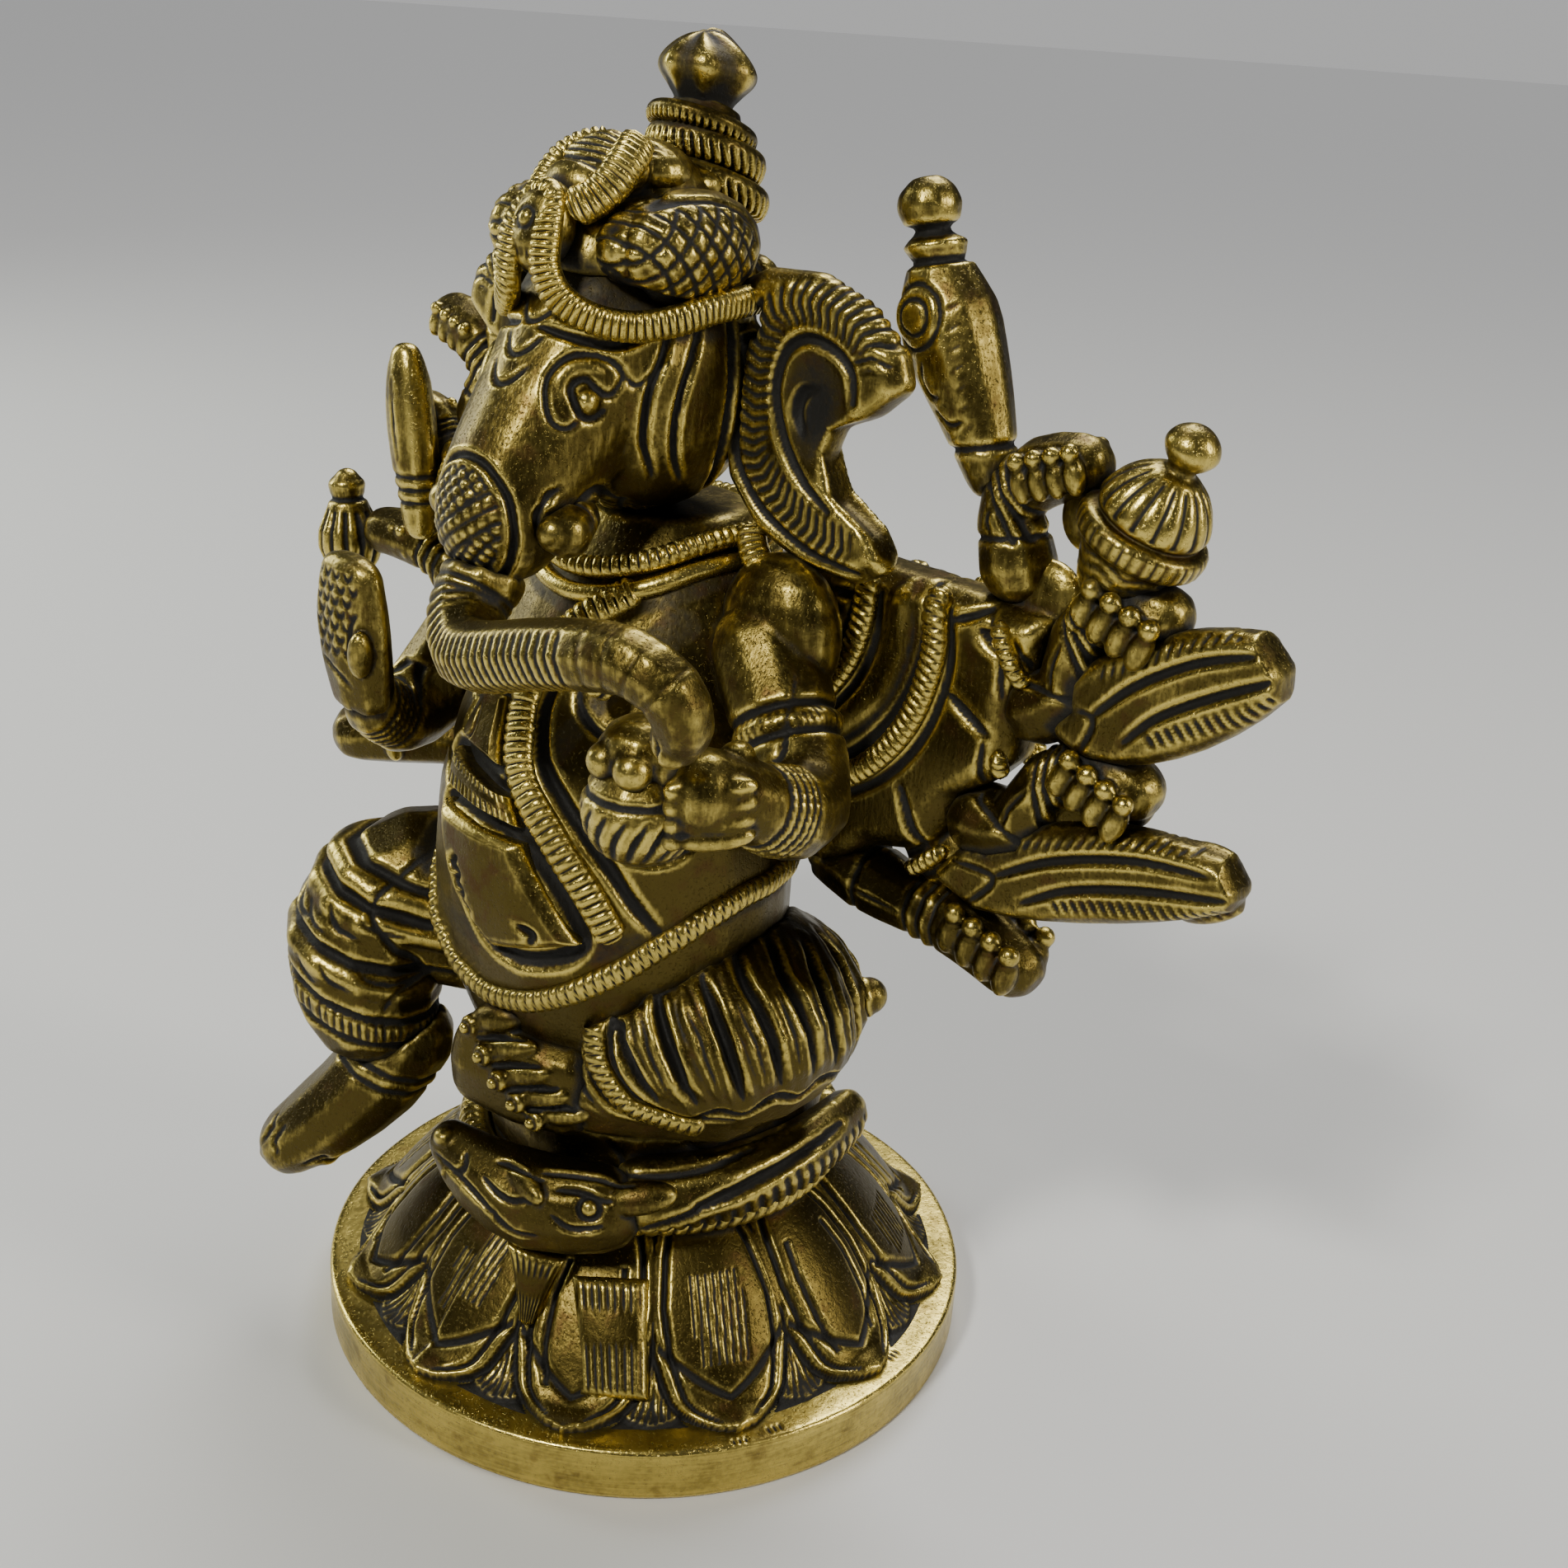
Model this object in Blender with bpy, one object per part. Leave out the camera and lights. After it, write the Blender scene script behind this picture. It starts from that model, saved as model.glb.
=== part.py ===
"""Seated ten-armed elephant-headed deity, cast in brass, on a lotus dome and a round disc.

Model space is metres, +Z up. The figure faces -Y and its left hand side is +X.
All driving dimensions below are in millimetres and are turned into metres when a mesh is made.
"""
import math

import bmesh
import bpy
from mathutils import Matrix, Vector

# ---- driving dimensions, millimetres ----
MM = 0.001
GAP = 0.3            # clearance kept between neighbouring pieces
BASE_RADIUS = 24.0
BASE_HEIGHT = 4.0
BASE_CHAMFER = 0.45
DOME_RADIUS = 20.6
DOME_TOP_RADIUS = 12.4
DOME_TOP = 13.2
PETALS = 14
SEAT_RADIUS = 12.3
SEAT_TOP = 21.5
ROPE_RADIUS = 1.05
BELLY_RADIUS = 12.0
NECK_HEIGHT = 62.0
HEAD_HEIGHT = 70.5
EAR_SPAN = 18.8
EAR_PLANE = -1.2     # y of the middle of the ears
EAR_THICKNESS = 2.4
CAP_HEIGHT = 77.2
CROWN_LEAN = math.radians(11.0)
FAN_PLANE = 4.0      # y of the middle of the fanned arms
FAN_THICKNESS = 4.6
FAN_REACH = 20.5
SHOULDER = (6.5, 58.0)    # x and z of the point the fanned arms spread from

# ---- finishes ----
BRIGHT = (0.55, 0.43, 0.13)
AGED = (0.30, 0.23, 0.08)


def clear_scene():
    for old in list(bpy.data.objects):
        bpy.data.objects.remove(old, do_unlink=True)


def brass(name, colour, roughness):
    material = bpy.data.materials.new(name + "_brass")
    material.use_nodes = True
    shader = material.node_tree.nodes["Principled BSDF"]
    shader.inputs["Base Color"].default_value = (*colour, 1.0)
    shader.inputs["Roughness"].default_value = roughness
    shader.inputs["Metallic"].default_value = 1.0
    return material


def finish(name, bm, colour=AGED, roughness=0.38):
    """Turn a bmesh in millimetres into a named, smooth-shaded object in metres."""
    bmesh.ops.recalc_face_normals(bm, faces=bm.faces)
    bmesh.ops.scale(bm, vec=(MM, MM, MM), verts=bm.verts)
    mesh = bpy.data.meshes.new(name)
    bm.to_mesh(mesh)
    bm.free()
    mesh.shade_smooth()
    mesh.set_sharp_from_angle(angle=math.radians(40.0))
    mesh.materials.append(brass(name, colour, roughness))
    body = bpy.data.objects.new(name, mesh)
    bpy.context.collection.objects.link(body)
    return body


def bridge_rings(bm, rings, closed=False):
    count = len(rings[0])
    pairs = list(zip(rings, rings[1:]))
    if closed:
        pairs.append((rings[-1], rings[0]))
    for lower, upper in pairs:
        for i in range(count):
            j = (i + 1) % count
            bm.faces.new((lower[i], lower[j], upper[j], upper[i]))


def spline(points, steps):
    """Catmull-Rom points through a list of equal-length tuples."""
    vectors = [Vector(p) for p in points]
    vectors = [2 * vectors[0] - vectors[1]] + vectors + [2 * vectors[-1] - vectors[-2]]
    result = []
    for k in range(1, len(vectors) - 2):
        a, b, c, d = vectors[k - 1:k + 3]
        for s in range(steps):
            t = s / steps
            result.append(0.5 * (2 * b + (c - a) * t + (2 * a - 5 * b + 4 * c - d) * t ** 2
                                 + (3 * b - a - 3 * c + d) * t ** 3))
    result.append(vectors[-2])
    return result


def tube(name, stations, sides=8, steps=2, up=(0, 0, 1), colour=AGED, closed=False):
    """A limb through stations (x, y, z, half width, half height) with rounded ends."""
    path = spline([s[:3] for s in stations], steps)
    sizes = spline([(s[3], s[4], 0.0) for s in stations], steps)
    bm = bmesh.new()
    rings = []
    up = Vector(up)
    last = len(path) - 1

    def add_ring(centre, side, lift, width, height):
        ring = []
        for i in range(sides):
            angle = 2 * math.pi * i / sides
            offset = side * (width * math.cos(angle)) + lift * (height * math.sin(angle))
            ring.append(bm.verts.new(centre + offset))
        rings.append(ring)

    for k, centre in enumerate(path):
        along = (path[min(k + 1, last)] - path[max(k - 1, 0)]).normalized()
        side = along.cross(up).normalized()
        lift = side.cross(along)
        up = lift
        width, height = sizes[k][0], sizes[k][1]
        rounding = min(width, height) * 0.8
        if k == 0:
            add_ring(centre - along * rounding, side, lift, width * 0.45, height * 0.45)
            add_ring(centre - along * rounding * 0.6, side, lift, width * 0.82, height * 0.82)
        add_ring(centre, side, lift, width, height)
        if k == last:
            add_ring(centre + along * rounding * 0.6, side, lift, width * 0.82, height * 0.82)
            add_ring(centre + along * rounding, side, lift, width * 0.45, height * 0.45)
    bridge_rings(bm, rings)
    bm.faces.new(list(reversed(rings[0])))
    bm.faces.new(rings[-1])
    return finish(name, bm, colour)


def hoop(name, points, width, height, outward, sides=6, colour=AGED):
    """A closed band through points; outward(point) is the direction its height stands in."""
    bm = bmesh.new()
    rings = []
    count = len(points)
    for k in range(count):
        centre = Vector(points[k])
        along = (Vector(points[(k + 1) % count]) - Vector(points[k - 1])).normalized()
        lift = Vector(outward(centre)).normalized()
        side = along.cross(lift).normalized()
        ring = []
        for i in range(sides):
            angle = 2 * math.pi * i / sides
            ring.append(bm.verts.new(centre + side * (width * math.cos(angle))
                                     + lift * (height * math.sin(angle))))
        rings.append(ring)
    bridge_rings(bm, rings, closed=True)
    return finish(name, bm, colour)


def ball(name, centre, radii, turn=(0, 0, 0), segments=12, rows=8, colour=AGED):
    """An ellipsoid with its three radii, turned by x, y and z angles in degrees."""
    bm = bmesh.new()
    bmesh.ops.create_uvsphere(bm, u_segments=segments, v_segments=rows, radius=1.0)
    spin = Matrix.Identity(3)
    for axis, degrees in zip("XYZ", turn):
        spin = Matrix.Rotation(math.radians(degrees), 3, axis) @ spin
    for vert in bm.verts:
        scaled = Vector((vert.co.x * radii[0], vert.co.y * radii[1], vert.co.z * radii[2]))
        vert.co = spin @ scaled + Vector(centre)
    return finish(name, bm, colour)


def turned(name, profile, base=(0, 0, 0), axis=(0, 0, 1), sides=16, lobes=0, lobe_depth=0.0,
           colour=AGED):
    """A turned solid: profile of (radius, height) from bottom to top, along an axis from base."""
    bm = bmesh.new()
    tilt = Vector((0, 0, 1)).rotation_difference(Vector(axis).normalized()).to_matrix()
    rings = []
    for radius, height in profile:
        ring = []
        for i in range(sides):
            angle = 2 * math.pi * i / sides
            reach = radius * (1.0 + lobe_depth * math.cos(lobes * angle))
            local = Vector((reach * math.cos(angle), reach * math.sin(angle), height))
            ring.append(bm.verts.new(tilt @ local + Vector(base)))
        rings.append(ring)
    bridge_rings(bm, rings)
    bm.faces.new(list(reversed(rings[0])))
    bm.faces.new(rings[-1])
    return finish(name, bm, colour)


def plate(name, outline, middle, thickness, edge=0.8, colour=AGED):
    """A rounded plate: an outline of (x, z) standing in the plane y = middle."""
    bm = bmesh.new()
    centre = Vector((sum(p[0] for p in outline), 0.0, sum(p[1] for p in outline))) / len(outline)
    layers = ((-0.5, edge), (-0.5 + edge / thickness, 0.0), (0.5 - edge / thickness, 0.0), (0.5, edge))
    rings = []
    for depth, inset in layers:
        ring = []
        for x, z in outline:
            inward = (centre - Vector((x, 0.0, z))).normalized() * inset
            ring.append(bm.verts.new((x + inward.x, middle + depth * thickness, z + inward.z)))
        rings.append(ring)
    bridge_rings(bm, rings)
    bm.faces.new(list(reversed(rings[0])))
    bm.faces.new(rings[-1])
    return finish(name, bm, colour)


def leaf_outline(root, tip, half_width, bend=0.0, count=9):
    """A blade in the x-z plane: widest past the middle, pointed at both ends."""
    start = Vector(root)
    along = Vector(tip) - start
    across = Vector((-along.y, along.x)).normalized()
    sides = []
    for sign in (1, -1):
        for k in range(count):
            t = k / count if sign > 0 else 1 - k / count
            swell = math.sin(math.pi * t ** 0.85) ** 0.6 if 0 < t < 1 else 0.12
            point = start + along * t + across * (sign * half_width * swell
                                                  + bend * math.sin(math.pi * t))
            sides.append((point.x, point.y))
    return sides


def join_to(body, extra):
    """Fuse a second closed shape into a body, leaving one solid."""
    union = body.modifiers.new("fused_shape", "BOOLEAN")
    union.operation = "UNION"
    union.object = extra
    hide_tool(extra)


def hide_tool(tool):
    tool.hide_render = True
    tool.display_type = "WIRE"


def keep_clear(body, *neighbours):
    """Cut a body back so that it stands a clearance away from each neighbour."""
    for neighbour in neighbours:
        cutter = bpy.data.objects.new("clearance_" + body.name + "_" + neighbour.name,
                                      neighbour.data)
        bpy.context.collection.objects.link(cutter)
        for fused in neighbour.modifiers:
            if fused.operation == "UNION":
                copied = cutter.modifiers.new(fused.name, "BOOLEAN")
                copied.operation = "UNION"
                copied.object = fused.object
        swell = cutter.modifiers.new("swell", "DISPLACE")
        swell.strength = GAP * MM
        swell.mid_level = 0.0
        hide_tool(cutter)
        cut = body.modifiers.new("clear_of_" + neighbour.name, "BOOLEAN")
        cut.operation = "DIFFERENCE"
        cut.object = cutter


def mirrored(stations):
    return [(-s[0], *s[1:]) for s in stations]


def base_and_seat():
    turned("base_disc", [(BASE_RADIUS - BASE_CHAMFER, 0.0), (BASE_RADIUS, BASE_CHAMFER),
                         (BASE_RADIUS, BASE_HEIGHT - BASE_CHAMFER),
                         (BASE_RADIUS - BASE_CHAMFER, BASE_HEIGHT)],
           sides=48, colour=BRIGHT)
    foot = BASE_HEIGHT + GAP
    dome = turned("lotus_dome", [(DOME_RADIUS, foot), (DOME_RADIUS - 0.3, foot + 1.1),
                                 (18.4, 7.9), (16.2, 10.4), (14.0, 12.2), (DOME_TOP_RADIUS, DOME_TOP)],
                  sides=PETALS * 4, lobes=PETALS, lobe_depth=0.022)
    seat = turned("seat", [(11.4, DOME_TOP + GAP), (11.9, 16.0), (SEAT_RADIUS, 18.5),
                           (SEAT_RADIUS - 0.3, 20.6), (SEAT_RADIUS - 1.3, SEAT_TOP)], sides=28)
    rope_line = SEAT_RADIUS + 1.15
    rope_path = []
    for k in range(28):
        angle = 2 * math.pi * k / 28
        rope_path.append((rope_line * math.cos(angle), rope_line * math.sin(angle),
                          DOME_TOP + GAP + ROPE_RADIUS + 0.25))
    rope = hoop("seat_rope", rope_path, ROPE_RADIUS, ROPE_RADIUS * 0.9, lambda p: (p.x, p.y, 0))
    body = tube("mouse_body", [(13.4, 6.2, 18.2, 1.5, 2.0), (14.4, 0.0, 18.3, 2.0, 2.3),
                               (12.9, -6.2, 17.9, 2.3, 2.4), (9.4, -10.8, 17.4, 2.4, 2.5)],
                sides=8)
    head = tube("mouse_head", [(8.4, -13.0, 16.9, 2.7, 2.9), (4.4, -15.4, 16.6, 3.0, 3.3),
                               (0.4, -16.7, 17.4, 2.3, 2.7), (-2.6, -17.2, 18.8, 1.3, 1.5)],
                sides=10)
    keep_clear(seat, body, head)
    keep_clear(rope, dome, seat, head, body)
    keep_clear(body, head)
    keep_clear(dome, head)
    return seat, rope, body, head


def torso_radii(height):
    """Half width, half depth and middle y of the torso at a height."""
    table = ((21.8, 9.6, 9.0, -2.6), (27.0, 11.2, 10.6, -4.0), (34.0, 12.0, 11.8, -4.8),
             (41.0, BELLY_RADIUS, BELLY_RADIUS, -4.9), (48.0, 11.3, 10.6, -4.0),
             (54.0, 10.2, 8.6, -2.6), (59.0, 8.2, 6.8, -1.6), (NECK_HEIGHT, 5.4, 5.2, -1.2))
    for low, high in zip(table, table[1:]):
        if height <= high[0]:
            t = max(0.0, (height - low[0]) / (high[0] - low[0]))
            t = t * t * (3 - 2 * t)
            return tuple(low[i] + (high[i] - low[i]) * t for i in (1, 2, 3))
    return table[-1][1:]


def torso_point(angle, height, proud):
    """A point standing proud of the torso; angle is measured from the front towards the left."""
    width, depth, middle = torso_radii(height)
    return Vector((math.sin(angle) * (width + proud), middle - math.cos(angle) * (depth + proud),
                   height))


def torso_and_dress():
    heights = [21.8, 24.5, 29.0, 34.0, 38.5, 43.0, 48.0, 52.0, 56.0, 59.0, NECK_HEIGHT]
    bm = bmesh.new()
    rings = []
    for height in heights:
        rings.append([bm.verts.new(torso_point(2 * math.pi * i / 22, height, 0.0))
                      for i in range(22)])
    bridge_rings(bm, rings)
    bm.faces.new(list(reversed(rings[0])))
    bm.faces.new(rings[-1])
    torso = finish("torso", bm)

    def strip(name, route, width, height, steps=2):
        stations = []
        for angle, level in route:
            point = torso_point(math.radians(angle), level, GAP + height)
            stations.append((*point, width, height))
        outward = torso_point(math.radians(route[0][0]), route[0][1], 5.0) - Vector(stations[0][:3])
        return tube(name, stations, sides=6, steps=steps, up=outward)

    belt_path = []
    for k in range(28):
        angle = 2 * math.pi * k / 28
        level = 38.6 - 3.2 * max(0.0, math.cos(angle)) ** 1.5
        belt_path.append(torso_point(angle, level, GAP + 0.75))
    belt = hoop("belt", belt_path, 1.0, 0.7, lambda p: (p.x, p.y + 4.8, 0))
    thread = strip("sacred_thread", [(52, 57.0), (32, 54.0), (20, 50.5), (14, 46.5), (18, 42.5),
                                     (26, 39.5)], 1.0, 0.6)
    sash = strip("belly_sash", [(-12, 47.0), (-9, 44.5), (-6, 42.0), (-2, 39.2)], 3.0, 0.6)
    keep_clear(sash, thread, belt)
    keep_clear(thread, belt)
    necklace = strip("necklace", [(-105, 60.6), (-70, 60.2), (-35, 58.6), (0, 57.6), (35, 58.6),
                                  (70, 60.2), (105, 60.6)], 1.6, 0.8)
    keep_clear(thread, necklace, torso)
    keep_clear(necklace, torso)
    return torso, belt, thread, sash, necklace


def legs(torso, seat, belt, mouse_head, mouse_body, rope):
    folded = ball("folded_leg", (8.6, -3.2, 28.6), (9.4, 10.6, 7.4), turn=(0, 0, -8), segments=16,
                  rows=10)
    shin = tube("shin_shape", [(12.0, -6.0, 25.4, 4.0, 3.6), (7.5, -10.8, 25.2, 3.0, 3.4),
                               (4.6, -12.6, 25.0, 2.4, 3.2)], sides=8)
    join_to(folded, shin)
    left_foot = tube("left_foot", [(5.4, -13.4, 24.9, 1.7, 3.3), (1.6, -14.8, 25.0, 1.7, 3.6),
                                   (-2.0, -15.6, 25.2, 1.5, 3.4)], sides=8)
    keep_clear(folded, torso, seat, belt, left_foot, mouse_body)
    keep_clear(left_foot, torso, seat, mouse_head)

    pendant = tube("pendant_leg", [(-7.6, -3.4, 30.0, 6.0, 6.6), (-12.4, -9.0, 31.4, 6.0, 6.4),
                                   (-15.2, -12.8, 31.0, 5.8, 5.8), (-15.4, -14.6, 27.2, 5.4, 5.4),
                                   (-14.2, -14.8, 24.2, 4.9, 4.9)], sides=12)
    right_foot = tube("right_foot", [(-12.4, -13.4, 21.8, 3.4, 3.6), (-13.8, -15.0, 18.0, 3.4, 3.3),
                                     (-16.4, -17.4, 14.4, 3.3, 2.9), (-18.6, -19.3, 12.0, 2.7, 2.3)],
                      sides=10)
    keep_clear(pendant, torso, seat, belt)
    keep_clear(right_foot, pendant, seat, rope, mouse_head)


def head_and_trunk(torso, necklace):
    head = ball("head", (0, -4.2, HEAD_HEIGHT), (7.1, 8.4, 8.4), turn=(18, 0, 0), segments=16, rows=10)
    muzzle = tube("muzzle_shape", [(0, -6.5, 73.0, 6.1, 6.2), (0, -10.2, 69.2, 5.1, 5.4),
                                   (0, -13.6, 65.6, 4.4, 4.4), (0, -15.4, 62.8, 4.0, 3.9)],
                  sides=12, up=(0, -1, 0))
    join_to(head, muzzle)
    trunk = tube("trunk", [(0.2, -16.6, 59.8, 2.4, 2.4), (0.6, -18.4, 57.6, 2.2, 2.2),
                           (3.0, -20.2, 56.4, 2.0, 2.0), (6.6, -21.4, 57.3, 1.9, 1.9),
                           (10.4, -22.0, 58.6, 1.85, 1.85), (14.7, -22.5, 59.9, 1.8, 1.8),
                           (18.4, -22.3, 60.5, 1.7, 1.7), (20.9, -21.7, 59.4, 1.6, 1.6),
                           (21.2, -21.0, 57.6, 1.5, 1.5), (20.2, -20.4, 56.2, 1.3, 1.3)],
                 sides=8, up=(0, -1, 0))
    keep_clear(trunk, head)
    keep_clear(head, torso, necklace)
    ears = []
    for side, sign in (("left", 1), ("right", -1)):
        tusk = tube("tusk_" + side, [(sign * 3.6, -12.4, 63.4, 1.2, 1.2),
                                     (sign * 5.0, -14.6, 63.0, 1.35, 1.35)], sides=8)
        keep_clear(tusk, head)
        outline = [(4.8, 76.0), (8.0, 77.6), (12.0, 77.8), (15.6, 76.6), (18.2, 74.4), (EAR_SPAN, 72.6),
                   (16.8, 70.8), (14.2, 69.8), (13.2, 67.4), (14.4, 64.8), (17.6, 63.2), (18.6, 61.8),
                   (16.4, 60.6), (12.4, 60.8), (8.6, 62.2), (6.0, 65.0), (5.4, 70.0)]
        ear = plate("ear_" + side, [(sign * x, z) for x, z in outline], EAR_PLANE, EAR_THICKNESS)
        keep_clear(ear, head, torso, necklace)
        ears.append(ear)
    return head, ears


def crown(head, ears):
    cap = ball("crown_cap", (0, -3.9, CAP_HEIGHT), (5.9, 7.7, 4.6), turn=(-6, 0, 0), segments=16,
               rows=8)
    band_path = []
    for k in range(24):
        angle = 2 * math.pi * k / 24
        front = max(0.0, math.cos(angle))
        level = 75.4 + 2.6 * front ** 6 - 0.8 * math.sin(angle) ** 2
        band_path.append((7.5 * math.sin(angle), -3.9 - 8.5 * math.cos(angle), level))
    band = hoop("crown_band", band_path, 1.0, 0.8, lambda p: (p.x, p.y + 3.9, 0))
    front = ball("crown_front", (0, -12.2, 79.6), (1.9, 1.5, 2.5), turn=(-20, 0, 0), segments=10, rows=6)
    curl = ball("crown_curl", (0, -7.2, 82.6), (2.4, 2.3, 2.1), segments=10, rows=6)
    pads = []
    for side, sign in (("left", 1), ("right", -1)):
        pads.append(ball("crown_pad_" + side, (sign * 5.0, -5.2, 78.7), (2.9, 5.7, 3.1),
                         turn=(0, 0, sign * 10)))
    lean = (0, math.sin(CROWN_LEAN), math.cos(CROWN_LEAN))
    rings = []
    for name, y, z, radius in (("lower", 1.0, 79.8, 3.7), ("middle", 1.0, 82.2, 3.4),
                               ("upper", 0.6, 84.4, 3.1)):
        rings.append(turned("crown_ring_" + name, [(radius * 0.7, 0.0), (radius, 0.5), (radius, 1.5),
                                                   (radius * 0.7, 2.0)],
                            base=(0, y, z), axis=lean, sides=20))
    finial = turned("finial", [(1.9, 0.0), (1.9, 0.5), (2.6, 1.3), (2.95, 2.0), (2.7, 2.7), (1.8, 3.4),
                               (0.7, 3.9), (0.25, 4.0)],
                    base=(0, 0.75, 86.6), axis=lean, sides=16)
    keep_clear(cap, head, *pads, curl, front, rings[0])
    keep_clear(band, head, cap, front, *pads)
    keep_clear(front, head)
    for ear in ears:
        keep_clear(ear, cap, band)
    for pad in pads:
        keep_clear(pad, head, rings[0], curl)
    keep_clear(rings[1], rings[0])
    keep_clear(rings[2], rings[1])
    keep_clear(finial, rings[2])
    keep_clear(curl, rings[0], rings[1])


def fan_outline(sign):
    """Outer edge of the four fused upper arms, with a soft lobe for each arm."""
    shoulder_x, shoulder_z = SHOULDER
    points = [(sign * 4.5, 45.0), (sign * 4.0, 52.0), (sign * 5.0, 58.6), (sign * 10.0, 60.4)]
    for k in range(17):
        t = k / 16
        angle = math.radians(6.0 - 104.0 * t)
        reach = FAN_REACH - 1.8 * t + 0.7 * math.cos(8 * math.pi * t)
        points.append((sign * (shoulder_x + reach * math.cos(angle)), shoulder_z + reach * math.sin(angle)))
    return points


LEFT_ARMS = {
    1: [(24.2, 4.0, 62.4, 2.2, 2.2), (23.6, 4.0, 64.2, 2.0, 2.0), (23.2, 4.0, 66.2, 1.7, 1.8),
        (25.3, 4.0, 68.4, 1.9, 2.0), (27.8, 4.0, 69.2, 1.7, 1.8)],
    2: [(26.6, 4.0, 54.4, 2.3, 2.3), (29.0, 4.0, 56.0, 2.1, 2.2), (29.2, 4.0, 59.6, 1.7, 1.9),
        (31.8, 4.0, 61.7, 1.9, 2.1), (34.2, 4.0, 61.9, 1.7, 1.9)],
    3: [(23.6, 4.0, 46.0, 2.3, 2.3), (26.6, 4.0, 46.6, 2.1, 2.2), (28.2, 4.0, 50.0, 1.7, 1.9),
        (31.8, 4.0, 51.7, 1.9, 2.1), (34.0, 4.0, 51.2, 1.7, 1.9)],
    4: [(11.6, 4.0, 40.4, 2.4, 2.4), (15.4, 4.0, 38.9, 2.3, 2.3), (19.6, 4.0, 38.4, 1.9, 2.0),
        (23.8, 4.0, 38.2, 2.1, 2.4), (27.4, 4.0, 36.9, 1.9, 2.1)],
}
RIGHT_ARMS = {
    1: mirrored(LEFT_ARMS[1]),
    2: mirrored(LEFT_ARMS[2][:3]) + [(-30.4, 3.6, 61.2, 1.8, 2.0), (-31.6, 3.4, 61.6, 1.6, 1.8)],
    3: mirrored(LEFT_ARMS[3][:3]) + [(-31.8, 3.4, 51.4, 1.9, 2.1), (-34.8, 2.6, 51.6, 1.7, 1.9)],
    4: [(-11.6, 4.0, 40.4, 2.4, 2.4), (-16.4, 3.0, 38.7, 2.3, 2.3), (-21.6, 0.8, 38.2, 2.0, 2.1),
        (-26.4, -2.4, 38.4, 2.6, 2.9), (-29.2, -4.4, 37.8, 2.2, 2.5)],
}


def fanned_arms(torso, worn_parts):
    for side, sign, routes in (("left", 1, LEFT_ARMS), ("right", -1, RIGHT_ARMS)):
        fan = plate(side + "_fan", fan_outline(sign), FAN_PLANE, FAN_THICKNESS, edge=1.2)
        keep_clear(fan, *worn_parts)
        shoulder_x, shoulder_z = SHOULDER
        band = []
        for k in range(9):
            angle = math.radians(-2.0 - 88.0 * k / 8)
            reach = 13.4 - 1.2 * k / 8
            band.append((sign * (shoulder_x + reach * math.cos(angle)),
                         FAN_PLANE - FAN_THICKNESS / 2 - GAP - 0.6,
                         shoulder_z + reach * math.sin(angle), 1.1, 0.6))
        armlet = tube(side + "_armlet", band, steps=1, up=(0, -1, 0))
        keep_clear(armlet, torso)
        arms = {}
        for number, route in routes.items():
            arms[number] = tube(side + "_arm_" + str(number), route, up=(0, -1, 0))
            keep_clear(arms[number], fan, *worn_parts)
        if side == "left":
            attributes_left(arms)
        else:
            attributes_right(arms)


def attributes_left(arms):
    club = tube("club", [(21.6, 4.0, 67.4, 1.4, 1.4), (20.0, 4.0, 70.8, 2.1, 2.1),
                         (18.4, 4.0, 73.8, 2.7, 2.6), (17.2, 4.0, 76.2, 2.8, 2.7),
                         (16.3, 4.0, 78.6, 1.8, 1.8), (15.7, 4.0, 80.2, 1.3, 1.3),
                         (15.2, 4.0, 82.0, 1.7, 1.7)], sides=10, up=(0, -1, 0), colour=BRIGHT)
    keep_clear(club, arms[1])
    bell_axis = (0.40, 0.0, 0.92)
    bell = turned("bell", [(1.1, 0.0), (2.0, 1.2), (2.9, 3.4), (3.0, 4.2), (3.8, 4.5), (3.8, 5.5),
                           (3.4, 5.9), (3.3, 7.0), (2.4, 8.6), (1.0, 9.4), (0.9, 9.7), (1.5, 10.4),
                           (1.6, 11.0), (1.1, 11.9), (0.4, 12.3)],
                  base=(30.0, 4.0, 61.4), axis=bell_axis, sides=14, colour=BRIGHT)
    keep_clear(bell, arms[2])
    upper = plate("leaf_upper", leaf_outline((28.4, 53.6), (43.4, 62.2), 3.3), 3.4, 2.6, edge=0.7,
                  colour=BRIGHT)
    lower = plate("leaf_lower", leaf_outline((21.6, 41.4), (43.4, 48.6), 2.9, bend=0.6), 3.4, 2.6,
                  edge=0.7, colour=BRIGHT)
    keep_clear(upper, arms[2], arms[3])
    keep_clear(lower, arms[3], arms[4])


def attributes_right(arms):
    goad = tube("goad", [(-22.4, 4.0, 67.6, 1.3, 1.3), (-20.6, 4.0, 71.0, 2.0, 1.9),
                         (-18.6, 4.0, 74.6, 2.0, 1.9), (-17.0, 4.0, 77.2, 1.3, 1.3)],
                up=(0, -1, 0), colour=BRIGHT)
    keep_clear(goad, arms[1])
    blade = tube("blade", [(-28.6, 1.2, 53.6, 1.2, 1.1), (-29.0, 1.2, 57.0, 1.7, 1.4),
                           (-29.6, 1.2, 61.0, 2.0, 1.5), (-30.0, 1.2, 64.4, 1.7, 1.3),
                           (-30.2, 1.2, 66.2, 1.1, 0.9)], up=(0, -1, 0), colour=BRIGHT)
    keep_clear(blade, arms[2], arms[3])
    bud = turned("bud", [(0.9, 0.0), (1.9, 1.0), (2.4, 2.4), (2.3, 3.6), (1.4, 5.6), (1.1, 6.6),
                         (1.3, 7.3), (0.8, 7.8)],
                 base=(-38.0, 1.6, 47.4), axis=(-0.08, 0.0, 1.0), sides=12, colour=BRIGHT)
    keep_clear(bud, arms[3])


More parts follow.
